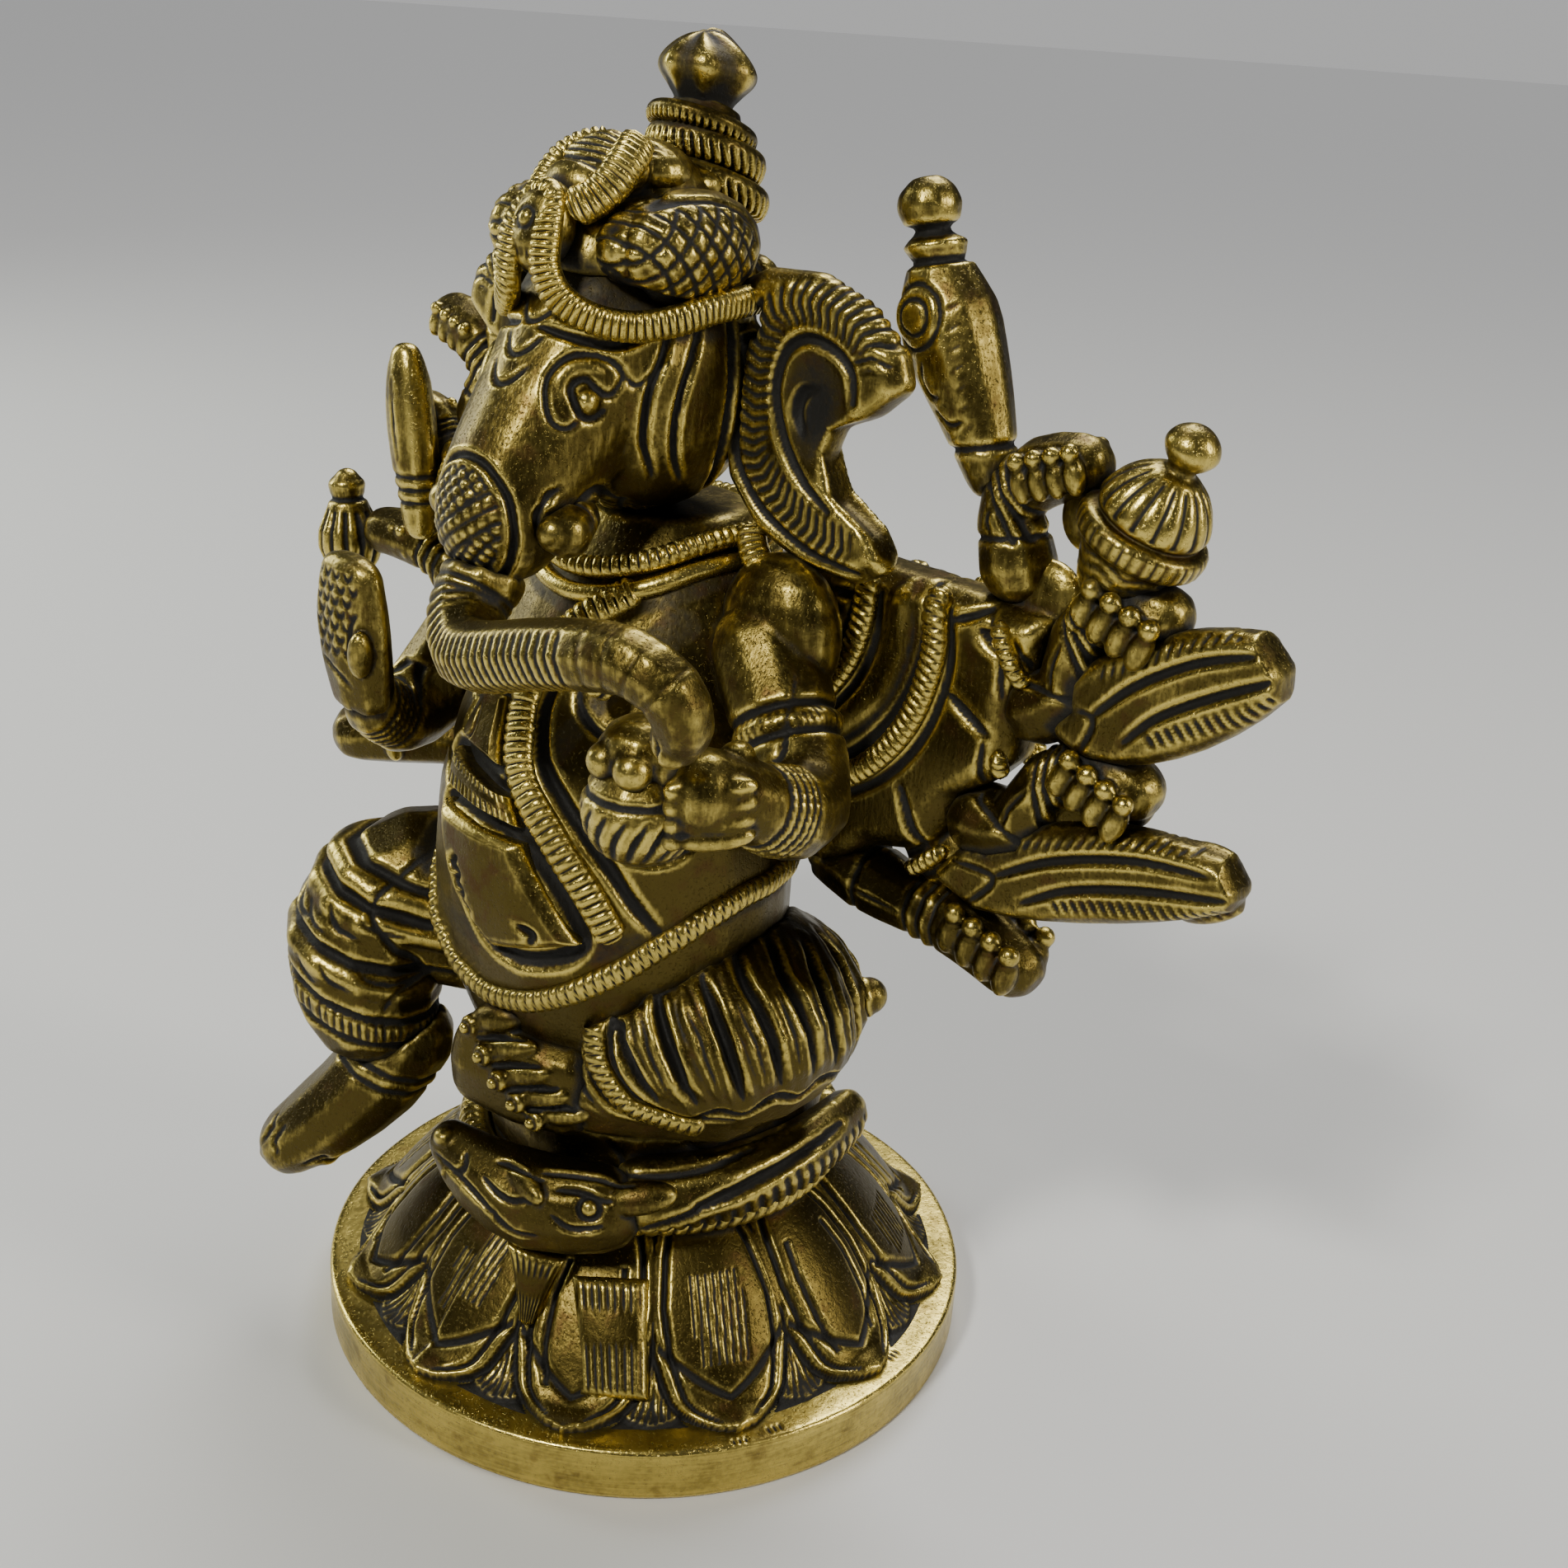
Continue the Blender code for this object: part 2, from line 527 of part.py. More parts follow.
def front_arms(torso_parts):
    left = tube("front_left_arm", [(11.0, -3.4, 55.4, 3.3, 3.4), (15.0, -5.2, 51.4, 3.2, 3.2),
                                   (18.8, -8.0, 48.6, 2.8, 2.9), (20.2, -12.2, 49.9, 2.4, 2.5),
                                   (19.8, -15.4, 51.6, 2.0, 2.1), (19.0, -17.0, 52.0, 2.3, 2.4)],
                sides=10)
    right = tube("front_right_arm", [(-11.0, -3.4, 55.4, 3.3, 3.4), (-14.0, -5.2, 50.6, 3.1, 3.2),
                                     (-15.6, -8.4, 46.0, 2.8, 2.9), (-15.2, -11.6, 45.0, 2.4, 2.5),
                                     (-14.6, -13.8, 46.6, 2.1, 2.1)], sides=10)
    palm = tube("raised_palm", [(-14.5, -14.8, 47.4, 2.4, 1.5), (-14.6, -15.2, 50.2, 3.0, 1.5),
                                (-14.7, -15.4, 53.2, 3.2, 1.4), (-14.6, -15.5, 56.2, 2.7, 1.1)],
                up=(0, -1, 0))
    bowl = ball("sweet_bowl", (15.6, -18.2, 50.2), (3.3, 3.3, 3.1), segments=14, rows=8)
    sweets = ball("sweets", (15.6, -18.2, 54.0), (2.3, 2.3, 1.5), segments=10, rows=6, colour=BRIGHT)
    keep_clear(left, *torso_parts)
    keep_clear(right, *torso_parts)
    keep_clear(palm, right)
    keep_clear(left, bowl)
    keep_clear(sweets, bowl, left)


def main():
    clear_scene()
    seat, rope, mouse_body, mouse_head = base_and_seat()
    torso, belt, thread, sash, necklace = torso_and_dress()
    legs(torso, seat, belt, mouse_head, mouse_body, rope)
    head, ears = head_and_trunk(torso, necklace)
    crown(head, ears)
    fanned_arms(torso, (torso, necklace, belt))
    front_arms((torso, thread, necklace))


main()
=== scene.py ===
"""Looks of a seated ten-armed elephant-headed figure, cast in brass and chased by hand.

The CAD nodes give every size and place. Each piece starts as a wax blank of its node, or as a
primitive, and is carved, notched and aged. Lengths in the carving code are millimetres.
The figure faces -Y, and its own left hand side is +X.
"""
import math

import bpy
import numpy as np
from mathutils import Matrix, Vector
from mathutils.bvhtree import BVHTree


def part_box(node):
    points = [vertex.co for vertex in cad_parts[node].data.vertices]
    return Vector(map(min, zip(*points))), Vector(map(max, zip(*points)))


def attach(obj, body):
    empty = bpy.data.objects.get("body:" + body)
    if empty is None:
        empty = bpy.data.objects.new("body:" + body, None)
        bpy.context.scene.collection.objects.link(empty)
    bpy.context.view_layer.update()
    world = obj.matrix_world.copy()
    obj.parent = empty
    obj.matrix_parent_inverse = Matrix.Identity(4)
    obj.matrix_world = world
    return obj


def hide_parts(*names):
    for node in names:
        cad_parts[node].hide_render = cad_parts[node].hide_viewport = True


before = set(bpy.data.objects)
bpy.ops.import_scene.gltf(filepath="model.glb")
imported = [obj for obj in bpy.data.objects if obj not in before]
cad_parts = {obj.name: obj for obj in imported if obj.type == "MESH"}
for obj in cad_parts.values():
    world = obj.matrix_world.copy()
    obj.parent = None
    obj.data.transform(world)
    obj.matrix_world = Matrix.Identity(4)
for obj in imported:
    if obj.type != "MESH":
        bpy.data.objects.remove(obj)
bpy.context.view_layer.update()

bl_info = {
    "name": "Seated Brass Deity",
    "version": (1, 0, 0),
    "blender": (4, 5, 0),
    "location": "3D View > Sidebar > Brass Deity",
    "description": "Carves and ages a small cast brass figure around its solid parts",
    "category": "Object",
}

MM = 0.001
HIDDEN_LIFT = 0.25      # how far a blank grows to close the clearance to its neighbours
STEPS = 8               # points on each stretch of a smooth line
WALL_REACH = 8.0        # metres from the figure to the backdrop
WALL_TALL = 24.0        # metres, half of it under the floor


# ---------------------------------------------------------------- settings

class FigureSizes(bpy.types.PropertyGroup):
    """Sizes of the carving tools."""
    grain: bpy.props.FloatProperty(
        name="Grain", description="Spacing of the points of a carved surface",
        default=0.00021, min=0.0001, unit="LENGTH")
    fine_grain: bpy.props.FloatProperty(
        name="Fine grain", description="Spacing of the points where the carving is finest",
        default=0.000165, min=0.0001, unit="LENGTH")
    petals: bpy.props.IntProperty(
        name="Petals", description="Number of large petals around the lotus dome",
        default=12, min=6, max=24)


class FigureColours(bpy.types.PropertyGroup):
    """Colours of the aged brass."""
    worn: bpy.props.FloatVectorProperty(
        name="Worn brass", description="Rubbed high places", subtype="COLOR", size=3,
        default=(0.64, 0.50, 0.125), min=0.0, max=1.0)
    aged: bpy.props.FloatVectorProperty(
        name="Aged brass", description="Plain surfaces", subtype="COLOR", size=3,
        default=(0.088, 0.065, 0.016), min=0.0, max=1.0)
    stain: bpy.props.FloatVectorProperty(
        name="Red stain", description="Reddish brown patches of the patina", subtype="COLOR", size=3,
        default=(0.085, 0.042, 0.016), min=0.0, max=1.0)
    # Dark wax in the cuts, and also the colour of the painted shade in hollows, at contacts between pieces
    # and under the notched strips.
    wax_and_shade: bpy.props.FloatVectorProperty(
        name="Grime", description="Dark wax left in the cuts", subtype="COLOR", size=3,
        default=(0.007, 0.006, 0.004), min=0.0, max=1.0)
    floor: bpy.props.FloatVectorProperty(
        name="Floor", description="Pale studio floor", subtype="COLOR", size=3,
        default=(0.66, 0.66, 0.655), min=0.0, max=1.0)


def sizes():
    return bpy.context.scene.figure_sizes


def colours():
    return bpy.context.scene.figure_colours


# ---------------------------------------------------------------- shader maths

class Value:
    """A shader socket whose Python sums and products become Math nodes."""

    def __init__(self, tree, socket):
        self.tree = tree
        self.socket = socket

    def maths(self, operation, first, second):
        return node(self.tree, "ShaderNodeMath", {"operation": operation}, {0: first, 1: second})

    def __add__(self, other):
        return self.maths("ADD", self, other)

    __radd__ = __add__

    def __sub__(self, other):
        return self.maths("SUBTRACT", self, other)

    def __rsub__(self, other):
        return self.maths("SUBTRACT", other, self)

    def __mul__(self, other):
        return self.maths("MULTIPLY", self, other)

    __rmul__ = __mul__

    def __pow__(self, other):
        return self.maths("POWER", self, other)

    def ease(self, low, high):
        """0 below low, 1 above high, smooth between."""
        return node(self.tree, "ShaderNodeMapRange", {"interpolation_type": "SMOOTHSTEP"},
                    {"Value": self, "From Min": low, "From Max": high}, "Result")


def node(tree, kind, settings, inputs, output=0):
    """Add a node: settings first, then the values or links of its sockets."""
    made = tree.nodes.new(kind)
    for key, value in settings.items():
        setattr(made, key, value)
    for key, value in inputs.items():
        socket = made.inputs[key]
        if isinstance(value, Value):
            tree.links.new(value.socket, socket)
        else:
            socket.default_value = value
    return Value(tree, made.outputs[output])


def blend_colour(tree, amount, first, second):
    """Mix two colours, each a Value or an RGB tuple."""
    pair = [c if isinstance(c, Value) else (*c, 1.0) for c in (first, second)]
    return node(tree, "ShaderNodeMix", {"data_type": "RGBA"}, {0: amount, 6: pair[0], 7: pair[1]}, 2)


def speckle(tree, place, scale, detail=3.0):
    return node(tree, "ShaderNodeTexNoise", {}, {"Vector": place, "Scale": scale, "Detail": detail,
                                                 "Roughness": 0.6}, "Fac")


def stretched(tree, place, scale):
    return node(tree, "ShaderNodeMapping", {}, {"Vector": place, "Scale": scale}, "Vector")


def aged_brass(name, polish=0.0, scratches=(4200.0, 3400.0, 620.0), scratch_depth=0.5, patina=1.0):
    """Antique brass: black wax in the cuts, red and olive patina, rubbed bright on the ridges; painted shade
    in hollows, at contacts and on the lower parts.
    """
    material = bpy.data.materials.new(name)
    material.use_nodes = True
    tree = material.node_tree
    tree.nodes.clear()
    tint = colours()
    place = node(tree, "ShaderNodeTexCoord", {}, {}, "Object")
    recess = node(tree, "ShaderNodeAttribute", {"attribute_name": "recess"}, {}, "Fac")
    ridge = node(tree, "ShaderNodeAttribute", {"attribute_name": "worn"}, {}, "Fac")
    cloudy = speckle(tree, place, 170.0, 5.0)
    blotch = speckle(tree, place, 420.0, 4.0)
    fine = speckle(tree, place, 2600.0, 3.0)
    brushed = speckle(tree, stretched(tree, place, scratches), 1.0, 2.0)

    # Painted shade: the brass is made darker towards the bottom of the figure (low).
    height_up = node(tree, "ShaderNodeSeparateXYZ", {}, {"Vector": place}, "Z")
    low = 1 - height_up.ease(0.015, 0.075)
    bright = (ridge * 1.0 + fine.ease(0.35, 0.7) * 0.16 + brushed.ease(0.35, 0.75) * 0.2
              + cloudy.ease(0.35, 0.65) * 0.34 + (polish - 0.27) - low * 0.34).ease(0.0, 1.05)
    metal = blend_colour(tree, bright, tuple(tint.aged), tuple(tint.worn))
    # The recess attribute holds wax and painted shade; it also makes the red stain heavier there.
    red = (blotch.ease(0.5, 0.68) * (1 - ridge) + recess * 0.35) * (0.55 * patina)
    stained = blend_colour(tree, red.ease(0.0, 1.0), metal, tuple(tint.stain))
    # Wax in the cuts plus painted shade in hollows and where pieces touch, both read from the recess
    # attribute, turn the colour dark.
    wax_and_painted_shade = (recess + (fine - 0.5) * 0.5 * recess.ease(0.05, 0.5)
            + cloudy.ease(0.55, 0.8) * 0.12 * patina - ridge * 0.3).ease(0.16, 0.78)
    colour = blend_colour(tree, wax_and_painted_shade, stained, tuple(tint.wax_and_shade))
    rough = (0.23 + fine * 0.14 + brushed * 0.1 + wax_and_painted_shade * 0.3 + red * 0.15 - bright * 0.08)
    metallic = 1 - wax_and_painted_shade * 0.75
    pits = speckle(tree, place, 5200.0, 2.0).ease(0.30, 0.42)
    height = brushed * scratch_depth + fine * 0.45 + pits * 0.4 + blotch * 1.6
    bump = node(tree, "ShaderNodeBump", {}, {"Height": height, "Strength": 0.7, "Distance": 0.00006},
                "Normal")
    shader = node(tree, "ShaderNodeBsdfPrincipled", {},
                  {"Base Color": colour, "Roughness": rough, "Metallic": metallic, "Normal": bump},
                  "BSDF")
    output = tree.nodes.new("ShaderNodeOutputMaterial")
    tree.links.new(shader.socket, output.inputs["Surface"])
    return material


FINISHES = {}


def finish_of(slot):
    """The material of a slot, made the first time it is asked for."""
    recipes = {
        "brass_body": dict(),
        "brass_bright": dict(polish=0.12, scratches=(4600.0, 3800.0, 900.0)),
        "brass_trim": dict(polish=0.05, patina=1.2),
        "brass_rim": dict(polish=1.0, scratches=(300.0, 300.0, 5200.0), scratch_depth=1.1, patina=0.8),
    }
    if slot not in FINISHES:
        FINISHES[slot] = aged_brass(slot, **recipes[slot])
    return FINISHES[slot]


# ---------------------------------------------------------------- blanks

def only(*pieces):
    """Select just these pieces; the first becomes active."""
    bpy.ops.object.select_all(action="DESELECT")
    for piece in pieces:
        piece.select_set(True)
    bpy.context.view_layer.objects.active = pieces[0]


def apply_modifier(piece, kind, **settings):
    only(piece)
    modifier = piece.modifiers.new(kind.lower(), kind)
    for key, value in settings.items():
        setattr(modifier, key, value)
    bpy.ops.object.modifier_apply(modifier=modifier.name)


def node_copy(name):
    """A merged copy of a CAD node's mesh."""
    piece = bpy.data.objects.new("blank_" + name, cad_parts[name].data.copy())
    bpy.context.collection.objects.link(piece)
    piece.data.materials.clear()
    only(piece)
    bpy.ops.object.mode_set(mode="EDIT")
    bpy.ops.mesh.select_all(action="SELECT")
    bpy.ops.mesh.remove_doubles(threshold=0.002 * MM)
    bpy.ops.object.mode_set(mode="OBJECT")
    return piece


def ball(centre, radii, along=None):
    """An ellipsoid whose third radius points along a direction."""
    radii = (radii, radii, radii) if isinstance(radii, (int, float)) else radii
    bpy.ops.object.select_all(action="DESELECT")
    bpy.ops.mesh.primitive_uv_sphere_add(segments=20, ring_count=12, radius=MM,
                                         location=Vector(centre) * MM)
    piece = bpy.context.object
    piece.scale = radii
    if along is not None:
        piece.rotation_mode = "QUATERNION"
        piece.rotation_quaternion = Vector((0, 0, 1)).rotation_difference(Vector(along))
    bpy.ops.object.transform_apply(location=True, rotation=True, scale=True)
    return piece


def bead(start, end, radius):
    """A rounded finger or toe from start to end."""
    start = Vector(start)
    end = Vector(end)
    return ball((start + end) / 2, (radius, radius, (end - start).length / 2), end - start)


def fuse(name, parts, grain, smooth):
    """Join closed shapes and give them one even skin."""
    only(*parts)
    if len(parts) > 1:
        bpy.ops.object.join()
    piece = bpy.context.object
    piece.name = name
    piece.data.name = name
    apply_modifier(piece, "REMESH", mode="VOXEL", voxel_size=grain, use_smooth_shade=True)
    if smooth:
        apply_modifier(piece, "SMOOTH", factor=0.5, iterations=smooth)
    return piece


def wax(name, nodes, bosses=(), fine=False, smooth=9, lift=HIDDEN_LIFT, coarse=1.0):
    """A wax blank of one or more CAD nodes, with small bosses added after it is smoothed."""
    grain = coarse * (sizes().fine_grain if fine else sizes().grain)
    piece = fuse(name, [node_copy(n) for n in nodes], grain, smooth)
    apply_modifier(piece, "DISPLACE", strength=lift * MM, mid_level=0.0)
    if bosses:
        piece = fuse(name, [piece, *bosses], grain, 2)
    return piece


# ---------------------------------------------------------------- lines and surfaces

def read(collection, key, count):
    values = np.empty(len(collection) * count, np.float32)
    collection.foreach_get(key, values)
    return values.reshape(-1, count).astype(float) if count > 1 else values


def smooth_line(points, closed=False, steps=STEPS):
    """Points on a smooth curve through a few given ones."""
    given = np.array(points, float)
    if len(given) < 3 and not closed:
        t = np.linspace(0, 1, steps + 1)[:, None]
        return given[0] * (1 - t) + given[-1] * t
    if closed:
        padded = np.vstack([given[-1:], given, given[:2]])
    else:
        padded = np.vstack([2 * given[0] - given[1], given, 2 * given[-1] - given[-2]])
    line = []
    for k in range(1, len(padded) - 2):
        a, b, c, d = padded[k - 1:k + 3]
        for t in np.arange(steps) / steps:
            line.append(0.5 * (2 * b + (c - a) * t + (2 * a - 5 * b + 4 * c - d) * t ** 2
                               + (3 * b - a - 3 * c + d) * t ** 3))
    line.append(padded[-2])
    return np.array(line)


def notch(phase, share=0.22):
    """1 in the middle of each cut of a notched pattern, 0 on the beads between."""
    return np.clip(1.0 - np.abs(phase % 1.0 - 0.5) / share, 0.0, 1.0)


def mean_of_neighbours(mesh, rounds, values):
    """Average values over the mesh's edges, a number of times."""
    edges = np.empty(len(mesh.edges) * 2, np.int32)
    mesh.edges.foreach_get("vertices", edges)
    a, b = edges.reshape(-1, 2).T
    count = len(values)
    degree = np.maximum(np.bincount(a, minlength=count) + np.bincount(b, minlength=count), 1)
    result = values.astype(float).reshape(count, -1)
    for _ in range(rounds):
        total = np.empty_like(result)
        for k in range(result.shape[1]):
            column = result[:, k]
            total[:, k] = (np.bincount(a, column[b], count) + np.bincount(b, column[a], count)) / degree
        result = 0.4 * result + 0.6 * total
    return result.reshape(values.shape)


class Skin:
    """The surface of a piece under the graver: cuts and ridges are added up, then cut at once."""

    def __init__(self, piece):
        self.piece = piece
        self.points = read(piece.data.vertices, "co", 3) / MM
        self.normals = read(piece.data.vertex_normals, "vector", 3)
        self.cut = np.zeros(len(self.points))
        self.rise = np.zeros(len(self.points))
        self.stain = np.zeros(len(self.points))
        self.tree = BVHTree.FromObject(piece, bpy.context.evaluated_depsgraph_get())

    def drape(self, point, side):
        """The place and normal where a point lands on the surface, seen from a side."""
        far = 90.0
        if side == "near":
            place, normal, _, _ = self.tree.find_nearest(Vector(point) * MM)
            return (np.array(place) / MM, np.array(normal)) if place else None
        a, b = point
        turn = math.radians(a)
        start, way = {
            "front": ((a, -far, b), (0, 1, 0)),
            "back": ((a, far, b), (0, -1, 0)),
            "left": ((far, a, b), (-1, 0, 0)),
            "right": ((-far, a, b), (1, 0, 0)),
            "top": ((a, b, 120.0), (0, 0, -1)),
            "round": ((math.sin(turn) * far, -4.0 - math.cos(turn) * far, b),
                      (-math.sin(turn), math.cos(turn), 0)),
        }[side]
        place, normal, _, _ = self.tree.ray_cast(Vector(start) * MM, Vector(way))
        return (np.array(place) / MM, np.array(normal)) if place else None

    def route(self, points, side, closed=False):
        """A smooth line laid on the surface: its points and normals."""
        hits = [self.drape(p, side) for p in smooth_line(points, closed)]
        hits = [hit for hit in hits if hit is not None]
        if len(hits) < 2:
            return None
        return np.array([h[0] for h in hits]), np.array([h[1] for h in hits])

    def girth(self, height_at):
        """A closed line once around the figure, at the height given for each turn in degrees."""
        places, normals = self.route([(a, height_at(math.cos(math.radians(a))))
                                      for a in range(-180, 181, 20)], "round")
        return places[:-1], normals[:-1]

    def near(self, line, reach):
        """Vertices within reach of a line: their numbers, distances and share of the way along."""
        inside = np.flatnonzero(np.all((self.points > line.min(0) - reach)
                                       & (self.points < line.max(0) + reach), axis=1))
        places = self.points[inside]
        best = np.full(len(inside), np.inf)
        along = np.zeros(len(inside))
        lengths = np.linalg.norm(np.diff(line, axis=0), axis=1)
        total = max(lengths.sum(), 1e-6)
        done = 0.0
        for start, end, length in zip(line, line[1:], lengths):
            way = end - start
            share = np.clip(((places - start) @ way) / max(length * length, 1e-9), 0, 1)
            gap = np.linalg.norm(places - start - share[:, None] * way, axis=1)
            closer = gap < best
            best[closer] = gap[closer]
            along[closer] = (done + share[closer] * length) / total
            done += length
        keep = best < reach
        return inside[keep], best[keep], along[keep]

    def stroke(self, points, side="near", width=0.55, depth=0.35, taper=0.4, closed=False, burr=0.12,
               raised=False):
        """One cut of the graver, or a raised line, pointed at its ends."""
        laid = self.route(points, side, closed)
        if laid is None:
            return
        half = width / 2
        index, gap, along = self.near(laid[0], half * 2.2)
        if closed or taper == 0:
            point = np.ones(len(along))
        else:
            point = np.clip(np.sin(np.pi * np.clip(along, 0.01, 0.99)), 0, 1) ** taper
        shape = np.clip(1 - (gap / (half * point)) ** 2, 0, 1)
        if raised:
            self.rise[index] = np.maximum(self.rise[index], depth * point * np.sqrt(shape))
            return
        self.cut[index] = np.maximum(self.cut[index], depth * point * shape)
        lip = np.exp(-((gap - 1.45 * half) / (0.4 * half)) ** 2)
        self.rise[index] = np.maximum(self.rise[index], burr * depth * point * lip)

    def both(self, points, width=0.55, depth=0.35, **more):
        """The same stroke on the left and the right side, given as (y, z)."""
        self.stroke(points, "left", width, depth, **more)
        self.stroke(points, "right", width, depth, **more)

    def girdle(self, centre, axis, reach, width=0.5, depth=0.25, facing=None, raised=False):
        """A ring cut, or a raised ring, around a limb."""
        axis = np.array(axis, float) / np.linalg.norm(axis)
        away = self.points - np.array(centre, float)
        index = np.flatnonzero(np.linalg.norm(away, axis=1) < reach)
        offset = np.abs(away[index] @ axis) / (width / 2)
        shape = np.clip(1 - offset ** 2, 0, 1)
        if facing is not None:
            facing = np.array(facing, float) / np.linalg.norm(facing)
            turned = self.normals[index] @ facing
            shape = shape * np.clip(0.5 + turned * 1.6, 0, 1)
        if raised:
            self.rise[index] = np.maximum(self.rise[index], depth * shape)
        else:
            self.cut[index] = np.maximum(self.cut[index], depth * shape)

    def boss(self, centre, radius, height=0.3, ring=0.3):
        """A small round boss with a cut around it."""
        gap = np.linalg.norm(self.points - np.array(centre, float), axis=1)
        self.rise = np.maximum(self.rise, height * np.sqrt(np.clip(1 - (gap / radius) ** 2, 0, 1)))
        around = np.clip(1 - ((gap - radius * 1.25) / (radius * 0.35)) ** 2, 0, 1)
        self.cut = np.maximum(self.cut, ring * around)

    def notched_zone(self, points, axes, reach, pitch, depth, lean=0.3, share=0.26):
        """Notches across a strip of the surface, square to a line drawn in two axes."""
        flat = np.zeros((len(self.points), 3))
        flat[:, :2] = self.points[:, axes]
        line = smooth_line([(*p, 0.0) for p in points])
        kept = self.points
        self.points = flat
        index, gap, along = self.near(line, reach)
        self.points = kept
        length = np.linalg.norm(np.diff(line, axis=0), axis=1).sum()
        phase = (along * length + lean * gap) / pitch
        fade = np.clip((1 - gap / reach) * 4, 0, 1) * np.clip(np.minimum(along, 1 - along) * 40, 0, 1)
        self.cut[index] = np.maximum(self.cut[index], notch(phase, share) * depth * fade)

    def field(self, mask, depth):
        """Cut by a field of depths where a mask holds."""
        self.cut = np.where(mask, np.maximum(self.cut, depth), self.cut)

    def done(self, slot, *nodes, reach=0.8):
        """Cut everything, age the surface, paint shade in hollows and at contacts, and hand the piece over.
        """
        mesh = self.piece.data
        offset = mean_of_neighbours(mesh, 2, self.rise - self.cut)
        stain = mean_of_neighbours(mesh, 1, np.clip(self.cut / 0.34, 0, 1) ** 1.4 * 0.95)
        self.points = self.points + self.normals * offset[:, None]
        mesh.vertices.foreach_set("co", (self.points * MM).astype(np.float32).ravel())
        mesh.update()
        hand_over(self.piece, slot, nodes, stain + self.stain, reach)


def hand_over(piece, slot, nodes, recess=0.0, reach=0.8):
    """Work out where wax and painted shade go and where hands rub, then give the piece its finish and body.
    """
    mesh = piece.data
    points = read(mesh.vertices, "co", 3) / MM
    normals = read(mesh.vertex_normals, "vector", 3)
    near = ((mean_of_neighbours(mesh, 3, points) - points) * normals).sum(1)
    wide = ((mean_of_neighbours(mesh, 14, points) - points) * normals).sum(1)
    corners = []
    faces = []
    for other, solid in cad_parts.items():
        if other in nodes:
            continue
        first = len(corners)
        corners.extend(v.co for v in solid.data.vertices)
        faces.extend([first + i for i in p.vertices] for p in solid.data.polygons)
    around = BVHTree.FromPolygons(corners, faces)
    # Painted shade where other pieces come close: touch is near 1 at a contact and fades out over reach.
    touch = np.zeros(len(points))
    limit = reach * 1.35 * MM
    for k, point in enumerate(points * MM):
        gap = around.find_nearest(Vector(point), limit)[3]
        if gap is not None:
            touch[k] = 1 - max(0.0, gap / MM - 0.35) / reach
    touch = mean_of_neighbours(mesh, 2, np.clip(touch, 0, 1))
    # hollow: concave places get wax and painted shade together; raised: the rubbed high places.
    hollow = np.clip(near / 0.05, 0, 1) * 0.55 + np.clip(wide / 0.16, 0, 1) * 0.7
    raised = np.clip(-near / 0.035, 0, 1) * 0.6 + np.clip(-wide / 0.12, 0, 1) * 0.6
    recess = np.clip(recess + hollow + touch ** 1.6 * min(0.7, reach), 0, 1)
    for key, values in (("recess", recess), ("worn", np.clip(raised - recess * 0.6, 0, 1))):
        layer = mesh.attributes.new(key, "FLOAT", "POINT")
        layer.data.foreach_set("value", values.astype(np.float32))
    mesh.materials.clear()
    mesh.materials.append(finish_of(slot))
    mesh.shade_smooth()
    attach(piece, "root")
    if nodes:
        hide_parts(*nodes)


def even_line(line, outs, pitch, closed):
    """A line and its normals at even distances."""
    if closed:
        line = np.vstack([line, line[:1]])
        outs = np.vstack([outs, outs[:1]])
    way = np.concatenate([[0], np.cumsum(np.linalg.norm(np.diff(line, axis=0), axis=1))])
    count = max(int(way[-1] / pitch), 2)
    marks = np.linspace(0, way[-1], count + 1)
    if closed:
        marks = marks[:-1]
    places = np.stack([np.interp(marks, way, line[:, k]) for k in range(3)], 1)
    normals = np.stack([np.interp(marks, way, outs[:, k]) for k in range(3)], 1)
    return places, normals / np.linalg.norm(normals, axis=1)[:, None], marks


